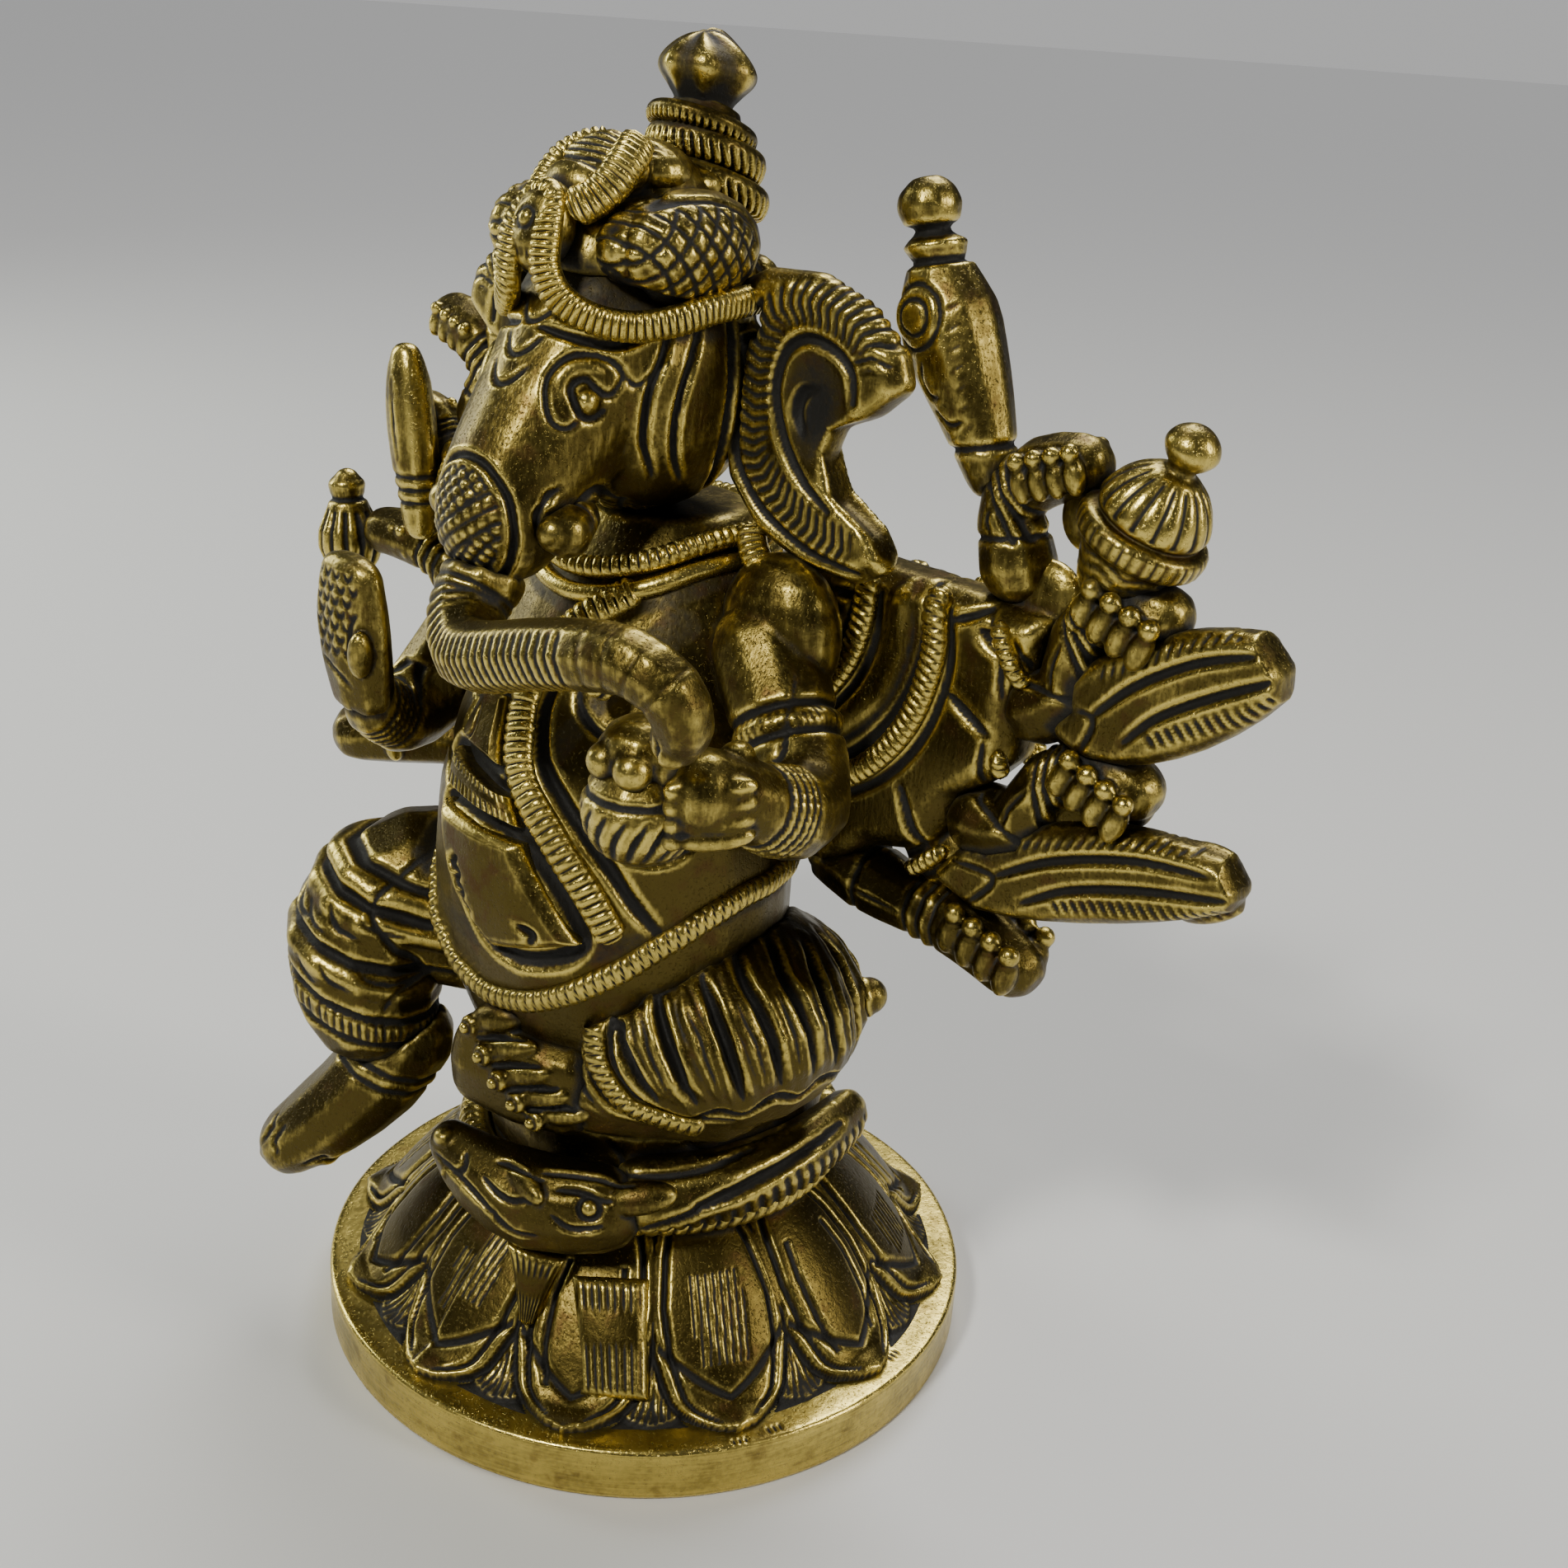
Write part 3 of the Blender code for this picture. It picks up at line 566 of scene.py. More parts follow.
def notched_band(name, line, outs, width, height, pitch, lean=0.0, depth=0.5, closed=False, lift=0.1,
                 slot="brass_trim", nodes=(), sides=10, wax_and_shade=0.0):
    """A half-round strip laid along a surface, cut across at an even pitch."""
    samples = 6 if pitch else 1
    places, normals, marks = even_line(line, outs, (pitch or 0.3) / samples, closed)
    if closed and pitch:
        turns = round(marks[-1] / pitch + 0.2)
        pitch = (marks[-1] + marks[1]) / turns
    count = len(places)
    if closed:
        along = np.roll(places, -1, 0) - np.roll(places, 1, 0)
    else:
        along = np.gradient(places, axis=0)
    along /= np.linalg.norm(along, axis=1)[:, None]
    across = np.cross(along, normals)
    across /= np.linalg.norm(across, axis=1)[:, None]
    angle = 2 * math.pi * np.arange(sides) / sides
    side = np.sign(np.cos(angle)) * np.abs(np.cos(angle)) ** 0.8
    rise = np.sign(np.sin(angle)) * np.abs(np.sin(angle)) ** 0.8
    ends = np.ones(count)
    if not closed:
        reach = np.minimum(marks, marks[-1] - marks)
        ends = np.sqrt(np.clip(reach / (0.8 * height) + 0.12, 0.1, 1))
    cuts = np.zeros((count, sides))
    if pitch:
        phase = (marks[:, None] + lean * width * side[None, :]) / pitch
        cuts = notch(phase) * np.clip(rise, 0, 1)[None, :] ** 0.5
    centre = places + normals * lift
    tall = height * rise[None, :] * (1 - depth * cuts) * ends[:, None]
    broad = width * side[None, :] * (1 - 0.12 * cuts) * ends[:, None]
    verts = centre[:, None, :] + across[:, None, :] * broad[..., None] + normals[:, None, :] * tall[..., None]
    rings = count if closed else count - 1
    faces = []
    for k in range(rings):
        low = k * sides
        high = ((k + 1) % count) * sides
        for i in range(sides):
            j = (i + 1) % sides
            faces.append((low + i, low + j, high + j, high + i))
    if not closed:
        faces.append(tuple(reversed(range(sides))))
        faces.append(tuple((count - 1) * sides + i for i in range(sides)))
    mesh = bpy.data.meshes.new(name)
    mesh.from_pydata((verts.reshape(-1, 3) * MM).tolist(), [], faces)
    piece = bpy.data.objects.new(name, mesh)
    bpy.context.collection.objects.link(piece)
    only(piece)
    bpy.ops.object.mode_set(mode="EDIT")
    bpy.ops.mesh.select_all(action="SELECT")
    bpy.ops.mesh.normals_make_consistent(inside=False)
    bpy.ops.object.mode_set(mode="OBJECT")
    mesh.update()
    # Painted shade on the half of the strip that faces the surface under it, plus wax in the notches and any
    # extra darkening asked for.
    shade = wax_and_shade + cuts * 0.9 + 0.8 * np.clip(0.15 - rise, 0, 1)[None, :]
    hand_over(piece, slot, nodes, shade.ravel(), reach=0.2)
    return piece


def turned(name, profile, base, axis, sides=64):
    """A turned piece drawn up ring by ring from a circle, as (radius, height) from its base."""
    bpy.ops.object.select_all(action="DESELECT")
    bpy.ops.mesh.primitive_circle_add(vertices=sides, radius=profile[0][0] * MM, fill_type="NGON",
                                      location=(0, 0, profile[0][1] * MM))
    piece = bpy.context.object
    piece.name = name
    bpy.ops.object.mode_set(mode="EDIT")
    bpy.ops.mesh.select_all(action="SELECT")
    smooth = smooth_line(profile, steps=5)
    for before, after in zip(smooth, smooth[1:]):
        grow = after[0] / before[0]
        bpy.ops.mesh.extrude_region_move(
            TRANSFORM_OT_translate={"value": (0, 0, (after[1] - before[1]) * MM)})
        bpy.ops.transform.resize(value=(grow, grow, 1), center_override=(0, 0, after[1] * MM))
    bpy.ops.mesh.select_all(action="SELECT")
    bpy.ops.mesh.normals_make_consistent(inside=False)
    bpy.ops.object.mode_set(mode="OBJECT")
    stand = Vector((0, 0, 1)).rotation_difference(Vector(axis)).to_matrix().to_4x4()
    piece.data.transform(Matrix.Translation(Vector(base) * MM) @ stand)
    piece.location = (0, 0, 0)
    return piece


# ---------------------------------------------------------------- base, lotus and seat

def base_disc():
    """Turned disc with an eased rim and three punch marks on its ledge."""
    low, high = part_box("base_disc")
    radius = (high.x - low.x) / 2
    bpy.ops.object.select_all(action="DESELECT")
    bpy.ops.mesh.primitive_cylinder_add(vertices=256, radius=radius, depth=high.z - low.z,
                                        location=(0, 0, (high.z + low.z) / 2))
    piece = bpy.context.object
    piece.name = "disc"
    bpy.ops.object.transform_apply(location=True)
    bpy.ops.object.mode_set(mode="EDIT")
    bpy.ops.mesh.select_mode(type="FACE")
    bpy.ops.mesh.select_all(action="DESELECT")
    bpy.ops.object.mode_set(mode="OBJECT")
    for face in piece.data.polygons:
        face.select = abs(face.normal.z) > 0.9
    bpy.ops.object.mode_set(mode="EDIT")
    bpy.ops.mesh.bevel(offset=0.5 * MM, segments=4, profile=0.6, affect="EDGES")
    bpy.ops.object.mode_set(mode="OBJECT")
    for face in piece.data.polygons:
        face.select = face.normal.z > 0.99 and face.area > (10 * MM) ** 2
    bpy.ops.object.mode_set(mode="EDIT")
    for _ in range(6):
        bpy.ops.mesh.inset(thickness=0.6 * MM)
    bpy.ops.object.mode_set(mode="OBJECT")
    marks = ((20.6, -11.6), (21.3, -9.0), (22.2, 2.6))
    for face in piece.data.polygons:
        spot = face.center / MM
        face.select = spot.z > 3.9 and any(math.hypot(spot.x - x, spot.y - y) < 1.2 for x, y in marks)
    for face in piece.data.polygons:
        side = abs(face.normal.z) < 0.2
        face.select = face.select or side
    bpy.ops.object.mode_set(mode="EDIT")
    bpy.ops.mesh.subdivide(number_cuts=5)
    bpy.ops.object.mode_set(mode="OBJECT")
    skin = Skin(piece)
    angle = np.arctan2(skin.points[:, 1], skin.points[:, 0])
    skin.cut += 0.05 + 0.05 * np.sin(3 * angle + 1) * np.sin(7 * angle)
    skin.cut[skin.normals[:, 2] < -0.5] = 0
    for x, y in marks:
        out = np.array([x, y]) / math.hypot(x, y)
        for k in range(3):
            shift = (k - 1) * 0.42
            start = (x - out[1] * shift - out[0] * 0.5, y + out[0] * shift - out[1] * 0.5)
            end = (x - out[1] * shift + out[0] * 0.5, y + out[0] * shift + out[1] * 0.5)
            skin.stroke([start, end], "top", 0.34, 0.22, taper=0.8)
    skin.done("brass_rim", "base_disc")


DOME_PROFILE = ((22.7, 3.55), (21.8, 3.95), (20.8, 4.35), (19.8, 5.3), (18.4, 7.2), (16.6, 9.4), (14.9, 11.1),
                (13.4, 12.3), (12.0, 13.1), (10.6, 13.3))
PETAL_HALF = ((22.6, 0.5), (22.2, 4.5), (21.4, 8.0), (20.2, 11.5), (18.4, 14.6), (16.4, 16.3), (14.0, 16.2),
              (12.0, 15.0))


def lotus_dome():
    """Turned dome under two rows of overlapping petals with hatched hearts."""
    count = sizes().petals
    profile = smooth_line(DOME_PROFILE, steps=10)
    way = np.concatenate([[0], np.cumsum(np.linalg.norm(np.diff(profile, axis=0), axis=1))])
    rows = np.arange(0, way[-1], 0.17)
    around = 760
    radius = np.interp(rows, way, profile[:, 0])
    height = np.interp(rows, way, profile[:, 1])
    slope = np.stack([np.gradient(height), -np.gradient(radius)], 1)
    slope /= np.linalg.norm(slope, axis=1)[:, None]
    turn = np.degrees(2 * math.pi * np.arange(around) / around)
    pitch = 360.0 / count
    half_at = np.array(sorted(PETAL_HALF))

    def petal(offset, scale, reach):
        """How far across each petal a point lies, and how deep inside its outline in mm."""
        off = (turn[None, :] - offset + pitch / 2) % pitch - pitch / 2
        half = np.interp(radius + reach, half_at[:, 0], half_at[:, 1], right=0.0)[:, None] * scale
        half = half * pitch / 30.0
        inside = (half - np.abs(off)) * math.pi / 180 * radius[:, None]
        return off / np.maximum(half, 0.01), inside, off

    across, inside, off = petal(1.0, 1.0, 0.0)
    _, inside2, _ = petal(1.0 + pitch / 2, 0.92, 0.9)
    shape = np.clip(inside / 0.28, 0, 1)
    front = shape * (0.62 + 0.38 * np.clip(1 - across ** 2, 0, 1))
    back = np.clip(inside2 / 0.25, 0, 1) * 0.32
    relief = np.maximum(front * 0.95, back)
    lip = inside - 1.05
    groove = np.exp(-(lip / 0.2) ** 2) * np.clip((22.0 - radius[:, None]) / 1.0, 0, 1)
    heart = lip > 0.3
    arc = np.exp(-((radius[:, None] - 20.3 + 0.16 * np.abs(off)) / 0.24) ** 2) * (inside > 0.3)
    lines = np.abs((off * math.pi / 180 * radius[:, None] + 0.12 * radius[:, None]) / 0.5 % 1 - 0.5)
    number = np.floor((turn - 1.0 + pitch / 2) / pitch)
    patchy = np.sin(number * 2.4 + radius[:, None] * 0.9) > -0.55
    narrow = (np.abs(across) < 0.40) & (radius[:, None] < 18.9) & (radius[:, None] > 14.6)
    hatch = np.clip(1 - lines / 0.26, 0, 1) * heart * patchy * narrow * (number % 2 == 0)
    vein = np.exp(-((inside - 2.3) / 0.19) ** 2) * (radius[:, None] < 20.0) * (radius[:, None] > 14.6)
    vein = vein * (number % 2 == 1)
    hatch2 = np.clip(1 - lines / 0.3, 0, 1) * (inside < -0.1) * (inside2 > 0.5)
    seam = np.exp(-((inside + 0.12) / 0.2) ** 2)
    wavy = 0.12 * np.sin(across * 2.6 + number * 1.7) * np.clip(inside - 0.4, 0, 1)
    cut = groove * 0.5 + vein * 0.36 + hatch * 0.15 + hatch2 * 0.14 + arc * 0.32 + seam * 0.3 + wavy
    spread = radius[:, None] + slope[:, 0][:, None] * (relief - cut)
    level = height[:, None] + slope[:, 1][:, None] * (relief - cut)
    angle = np.radians(turn)[None, :]
    verts = np.stack([np.sin(angle) * spread, -np.cos(angle) * spread, level], -1).reshape(-1, 3)
    faces = []
    for r in range(len(rows) - 1):
        for k in range(around):
            j = (k + 1) % around
            faces.append((r * around + k, r * around + j, (r + 1) * around + j, (r + 1) * around + k))
    top = (len(rows) - 1) * around
    faces.append(tuple(top + k for k in range(around)))
    faces.append(tuple(reversed(range(around))))
    mesh = bpy.data.meshes.new("lotus")
    mesh.from_pydata((verts * MM).tolist(), [], faces)
    piece = bpy.data.objects.new("lotus", mesh)
    bpy.context.collection.objects.link(piece)
    mesh.update()
    recess = np.clip(groove * 0.85 + vein * 0.8 + hatch * 0.5 + hatch2 * 0.5 + seam + arc * 0.7, 0, 1).ravel()
    hand_over(piece, "brass_body", ("lotus_dome",), recess)


def panel(name, corners, hatch_pitch, thickness, tip=0.0, ground=None, bow=0.0):
    """A small flap between four corners: top left, top right, bottom right, bottom left.

    Given a ground, the corners are (x, z) and the flap lies on it. A pitch of 0 leaves it plain.
    """
    if ground is not None:
        corners = [(x, 0.0, z) for x, z in corners]
    a, b, c, d = (np.array(p, float) for p in corners)
    wide, tall = (34, 44) if ground is None else (62, 66)
    u = np.linspace(0, 1, wide)[None, :, None]
    v = np.linspace(0, 1, tall)[:, None, None]
    face = (a * (1 - u) + b * u) * (1 - v) + (d * (1 - u) + c * u) * v
    out = np.cross(b - a, d - a)
    out = -out / np.linalg.norm(out)
    if out[1] > 0:
        out = -out
    width = np.linalg.norm(b - a)
    if hatch_pitch:
        lines = np.clip(1 - np.abs((u * width / hatch_pitch) % 1 - 0.5) / 0.3, 0, 1)
    else:
        lines = 0 * u
    edge = np.clip(np.minimum(np.minimum(u, 1 - u) * 8, np.minimum(v, 1 - v) * 12), 0, 1)
    worked = np.clip(np.sin(v * 9.0 + 1.0) + 0.75, 0, 1)
    bulge = np.sin(np.pi * u) * 0.35
    cut = lines * edge * worked * 0.16
    taper = 1 - tip * v
    middle = face.mean(1, keepdims=True)
    face = middle + (face - middle) * taper
    if ground is not None:
        face = face - np.array((bow, 0, 0)) * np.sin(np.pi * v) * (1 - u)
        hits = [ground.drape((x, z), "front") for x, z in face.reshape(-1, 3)[:, [0, 2]]]
        face = np.array([h[0] for h in hits]).reshape(face.shape)
        out = np.array([h[1] for h in hits]).reshape(face.shape)
        bulge = bulge * 0.4
    top = face + out * (thickness * edge ** 0.5 + bulge - cut)
    under = face - out * 0.8
    count = wide * tall
    verts = np.concatenate([top.reshape(-1, 3), under.reshape(-1, 3)])
    faces = []
    for r in range(tall - 1):
        for k in range(wide - 1):
            i = r * wide + k
            faces.append((i, i + 1, i + wide + 1, i + wide))
            faces.append((count + i, count + i + wide, count + i + wide + 1, count + i + 1))
    rim = ([k for k in range(wide)] + [r * wide + wide - 1 for r in range(1, tall)]
           + [(tall - 1) * wide + k for k in range(wide - 2, -1, -1)]
           + [r * wide for r in range(tall - 2, 0, -1)])
    for i, j in zip(rim, rim[1:] + rim[:1]):
        faces.append((j, i, count + i, count + j))
    mesh = bpy.data.meshes.new(name)
    mesh.from_pydata((verts * MM).tolist(), [], faces)
    piece = bpy.data.objects.new(name, mesh)
    bpy.context.collection.objects.link(piece)
    only(piece)
    bpy.ops.object.mode_set(mode="EDIT")
    bpy.ops.mesh.select_all(action="SELECT")
    bpy.ops.mesh.normals_make_consistent(inside=False)
    bpy.ops.object.mode_set(mode="OBJECT")
    dark = np.concatenate([(lines * edge * worked * 0.6).ravel(), np.zeros(count)])
    if ground is None:
        hand_over(piece, "brass_body", (), dark, reach=0.2)
        return None
    return piece


def seat():
    skin = Skin(wax("cushion_seat", ["seat"], lift=0.3))
    for level in (15.9, 20.9):
        skin.girdle((0, 0, level), (0, 0, 1), 14, 0.5, 0.2)
    for k in range(9):
        angle = 40 + 32 * k
        skin.stroke([(angle, 20.4), (angle + 9, 18.6), (angle + 4, 16.4)], "round", 0.5, 0.25)
    skin.done("brass_body", "seat")


def seat_rope():
    """Rope of slanted strands around the foot of the seat."""
    low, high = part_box("seat_rope")
    reach = (high.x - low.x) / 2 / MM - 1.0
    level = (high.z + low.z) / 2 / MM
    angle = 2 * math.pi * np.arange(200) / 200
    line = np.stack([reach * np.cos(angle), reach * np.sin(angle), level + 0 * angle], 1)
    outs = np.stack([np.cos(angle), np.sin(angle), 0.25 + 0 * angle], 1)
    notched_band("rope", line, outs, 1.15, 1.1, 0.92, lean=0.35, depth=0.42, closed=True, lift=0.0,
                 nodes=("seat_rope",), sides=14)


def mouse():
    """The mount, curled around the seat: long back, leaf ear, ringed eye and a toothed jaw."""
    body = Skin(wax("mouse_back", ["mouse_body"]))
    body.stroke([(11.0, -11.6, 16.4), (12.2, -10.4, 17.0), (13.6, -8.8, 17.9), (14.8, -6.3, 18.8),
                 (15.5, -3.4, 19.4), (15.6, -0.3, 19.7), (15.2, 3.0, 19.7)], width=1.0, depth=0.7, taper=0.15)
    body.stroke([(8.6, -12.6, 19.6), (11.0, -10.8, 19.8), (13.0, -8.0, 20.2), (13.9, -4.4, 20.6)],
                width=0.6, depth=0.4)
    place = body.points
    turn = np.arctan2(place[:, 1], place[:, 0])
    edge = np.clip(16.3 + (place[:, 1] + 11.4) * 0.36, 16.0, 19.4)
    outer = np.hypot(place[:, 0], place[:, 1]) > 12.2
    rope = np.clip((edge - 0.35 - place[:, 2]) * 2.5, 0, 1) * outer
    rings = notch(turn * 14.5 / 1.0 + (place[:, 2] - 17) * 0.3, 0.24)
    body.cut = np.maximum(body.cut, rings * rope * 0.42)
    body.stain += 0.1
    body.done("brass_body", "mouse_body")
    bosses = [ball((8.9, -14.3, 18.3), 0.95),
              ball((-2.2, -17.9, 19.7), (0.9, 0.9, 0.7)),
              ball((11.0, -12.4, 18.8), (1.2, 1.0, 2.6), (0.8, 0.75, 0.2)),
              bead((5.6, -17.1, 14.8), (-1.2, -17.9, 16.9), 1.0),
              ball((4.6, -16.9, 19.0), (1.0, 0.8, 2.4), (-1.0, 0.2, 0.1))]
    for k in range(6):
        bosses.append(ball((-1.2 + 0.95 * k, -18.8 + 0.12 * k, 17.7 - 0.32 * k), 0.36))
    head = Skin(wax("mouse_face", ["mouse_head"], bosses, fine=True))
    head.stroke([(-2.6, -18.6, 18.6), (0.6, -19.0, 18.2), (3.6, -18.8, 17.0), (5.6, -18.4, 15.8)],
                width=0.5, depth=0.4)
    head.boss((9.2, -15.2, 18.4), 0.6, 0.25, 0.4)
    for points in (((7.0, -16.3, 19.3), (8.6, -15.6, 19.8), (10.4, -14.4, 19.2)),
                   ((7.2, -16.7, 17.7), (8.6, -16.2, 17.0), (10.4, -14.9, 17.4)),
                   ((5.6, -16.4, 20.0), (8.0, -14.6, 20.6), (11.0, -12.6, 20.2)),
                   ((6.2, -17.2, 18.6), (4.4, -17.8, 18.0), (2.2, -18.4, 18.9)),
                   ((0.2, -18.2, 19.8), (0.6, -18.6, 18.8), (-0.4, -18.8, 18.0)),
                   ((2.6, -17.8, 20.2), (4.0, -17.4, 20.4), (6.2, -16.4, 19.8)),
                   ((3.4, -18.0, 17.0), (4.6, -17.9, 16.2), (6.6, -17.0, 16.2))):
        head.stroke(points, width=0.5, depth=0.42)
    for k in range(9):
        x = -0.8 + 0.62 * k
        head.stroke([(x, 16.6 - 0.25 * k), (x + 0.35, 15.2 - 0.25 * k)], "front", 0.3, 0.18)
    head.stain += 0.12
    head.done("brass_body", "mouse_head")
    panel("chin_tab", ((4.3, -18.0, 14.4), (7.4, -15.6, 13.4), (6.7, -16.9, 8.3), (4.6, -17.9, 8.4)),
          0.5, 0.35, tip=0.55)
    panel("front_tongue", ((6.9, -14.4, 11.3), (11.0, -11.2, 11.6), (14.6, -14.4, 5.3), (10.9, -17.2, 5.1)),
          0.55, 0.55)


# ---------------------------------------------------------------- torso, dress and legs

def torso():
    skin = Skin(wax("body", ["torso"], [ball((6.2, -12.6, 53.4), 0.9), ball((-5.6, -12.4, 53.2), 0.9)],
                    smooth=30, coarse=1.05))
    for x in (6.2, -5.6):
        skin.boss((x, -13.4, 53.5), 0.7, 0.15, 0.3)
        skin.stroke([(x - 3.2, 52.8), (x - 1.8, 50.8), (x + 1.2, 49.6), (x + 4.2, 50.4)], "front", 0.7, 0.45)
    skin.stroke([(-1.2, 53.4), (-1.3, 50.6), (-0.4, 48.0), (0.9, 46.2), (2.6, 44.4), (4.3, 42.6), (5.4, 41.0),
                 (6.3, 39.2), (7.4, 36.6)], "front", 0.9, 0.6, taper=0.2)
    skin.stroke([(1.6, 53.6), (1.5, 51.0), (2.4, 49.0), (3.6, 47.4), (5.2, 45.8), (6.8, 44.2), (8.1, 42.4),
                 (9.2, 40.4), (10.4, 37.8)], "front", 1.1, 0.7, taper=0.2)
    skin.stroke([(8.4, 43.4), (10.0, 42.8), (11.2, 43.4)], "front", 1.0, 0.5)
    skin.stroke([(-11.0, 44.6), (-8.0, 45.6), (-5.4, 45.0)], "front", 0.8, 0.4)
    skin.stroke([(-7.6, 42.4), (-8.4, 39.8), (-7.4, 37.0)], "front", 0.7, 0.4)
    for level, wide in ((57.4, 0.6), (55.0, 0.5), (47.6, 0.45), (44.2, 0.5)):
        skin.stroke([(130, level), (160, level - 1.4), (180, level - 1.8), (200, level - 1.4), (230, level)],
                    "round", wide, 0.3)
    for angle in (165, 180, 195):
        skin.stroke([(angle, 55.0), (angle * 0.4 + 108, 50.0)], "round", 0.5, 0.28)
    laid = skin.route([(4.6, 58.4), (2.0, 56.2), (0.2, 53.6), (0.0, 51.0), (0.9, 48.8), (2.0, 46.8),
                       (3.6, 45.2), (5.2, 43.6), (6.5, 42.0), (7.6, 40.0), (8.8, 37.4)], "front")
    for edge in (SASH[0], SASH[1], SASH[2]):
        skin.stroke(list(edge), "front", 1.3, 0.7, closed=True)
    plates = [panel("belly_panel", SASH[0], 0, 0.75, ground=skin, bow=1.6),
              panel("belly_cross_band", SASH[1], 0.42, 0.7, ground=skin),
              panel("belly_upper_panel", SASH[2], 0, 0.6, ground=skin)]
    neck = skin.girth(lambda front: 60.3 - 2.3 * max(0.0, front))
    waist = skin.girth(lambda front: 39.3 - 8.2 * max(0.0, front) ** 2)
    skin.done("brass_body", "torso", reach=0.45)
    carve_sash(*plates)
    notched_band("thread", *laid, 1.05, 0.75, 0.66, depth=0.45, nodes=("sacred_thread",))
    notched_band("girdle_cord", *waist, 0.85, 0.6, 0.66, lean=0.3, depth=0.55, wax_and_shade=0.32, closed=True,
                 nodes=("belt",))
    outer = neck[0] + neck[1] * 0.15
    notched_band("neck_chain", outer + (0, 0, 1.15), neck[1], 0.7, 0.8, 0.6, depth=0.5, closed=True,
                 lift=-0.15, nodes=("necklace",))
    notched_band("neck_edge", outer + (0, 0, -0.75), neck[1], 0.62, 0.75, 0, closed=True, lift=0.25)


SASH = (
    ((-4.6, 43.5), (3.3, 43.0), (7.2, 37.0), (1.6, 35.4)),
    ((-5.0, 46.6), (1.6, 45.4), (2.8, 43.9), (-4.8, 44.6)),
    ((-3.8, 50.6), (-1.6, 50.6), (0.0, 47.0), (-4.4, 47.6)),
)


def carve_sash(lower, cross, upper):
    """The waist sash: a gouged lower panel, a hatched cross band and a plain upper panel."""
    skin = Skin(lower)
    for k in range(5):
        skin.stroke([(-1.5 + 0.5 * k, 40.9 - 1.05 * k), (-2.1 + 0.5 * k, 40.2 - 1.05 * k),
                     (-1.0 + 0.5 * k, 39.9 - 1.05 * k)], "front", 0.75, 0.6)
    skin.stroke([(4.0, 37.9), (4.9, 37.5), (4.8, 36.6)], "front", 0.7, 0.55)
    skin.done("brass_trim", "belly_sash", reach=0.2)
    for piece in (cross, upper):
        skin = Skin(piece)
        if piece is upper:
            skin.stroke([(-3.2, 50.0), (-2.9, 48.4), (-3.6, 47.8)], "front", 0.4, 0.3)
        skin.done("brass_trim", reach=0.2)


PLEATS = (
    ((9.1, -12.5, 35.2), (8.7, -12.1, 31.8), (10.6, -13.2, 29.4), (12.3, -12.2, 26.8)),
    ((11.2, -11.4, 36.4), (10.5, -10.9, 33.2), (12.7, -11.8, 30.6), (14.3, -10.8, 27.0)),
    ((12.5, -9.4, 36.8), (12.6, -8.8, 33.8), (15.0, -9.2, 31.0), (16.2, -8.5, 27.2)),
    ((11.9, -5.6, 36.4), (13.9, -6.6, 34.1), (16.0, -6.6, 31.6), (17.1, -6.1, 27.8)),
    ((12.2, -2.6, 35.6), (14.7, -4.0, 34.0), (16.8, -4.0, 31.6), (17.7, -3.7, 28.0)),
    ((13.1, -0.3, 34.8), (15.8, -1.6, 33.1), (17.4, -1.7, 30.4), (17.6, -1.2, 27.6)),
    ((12.6, 2.2, 34.6), (15.2, 1.4, 32.4), (16.9, 1.4, 29.4), (16.3, 1.8, 26.4)),
    ((10.4, 4.8, 33.8), (13.4, 5.0, 31.2), (14.6, 5.2, 28.2), (13.6, 5.0, 25.4)),
)


def folded_leg():
    """The left leg, folded flat, under S-shaped pleats with a notched border."""
    skin = Skin(wax("left_thigh", ["folded_leg"], [ball((15.8, 4.4, 29.8), 1.3)], fine=True, smooth=12))
    for k, points in enumerate(PLEATS):
        skin.stroke(points, width=0.95, depth=0.8, taper=0.45, burr=0.35)
        if k:
            between = [tuple(a * 0.55 + b * 0.45 for a, b in zip(p, q))
                       for p, q in zip(points, PLEATS[k - 1])]
            skin.stroke(between, width=1.3, depth=0.3, taper=0.5, raised=True)
            skin.stroke(between[1:], width=0.36, depth=0.24, taper=0.6)
    hem = [(9.6, -12.9, 25.4), (12.0, -11.9, 26.2), (13.2, -11.0, 25.6), (14.9, -9.6, 26.4),
           (15.8, -8.2, 26.0), (16.8, -6.4, 27.0), (17.2, -4.6, 26.4), (17.5, -2.6, 27.0), (17.0, 0.4, 26.0)]
    skin.stroke(hem, width=0.7, depth=0.55, taper=0.2)
    skin.stroke([(9.0, 34.6), (8.6, 31.4), (9.6, 28.4), (11.8, 26.2), (15.4, 25.2)], "front", 0.7, 0.5,
                taper=0.15)
    skin.stroke([(6.6, 34.4), (6.2, 30.8), (7.4, 27.4), (9.6, 25.4), (12.6, 24.4)], "front", 0.7, 0.5,
                taper=0.15)
    skin.stroke([(4.8, 27.9), (6.9, 26.4), (9.2, 24.4)], "front", 0.5, 0.3)
    border = skin.route([(7.9, 34.6), (7.4, 31.0), (8.6, 27.9), (10.7, 25.8), (14.0, 24.7)], "front")
    skin.done("brass_body", "folded_leg")
    notched_band("thigh_border", *border, 0.95, 0.6, 0.62, lean=0.2, depth=0.5, lift=0.05,
                 slot="brass_body")


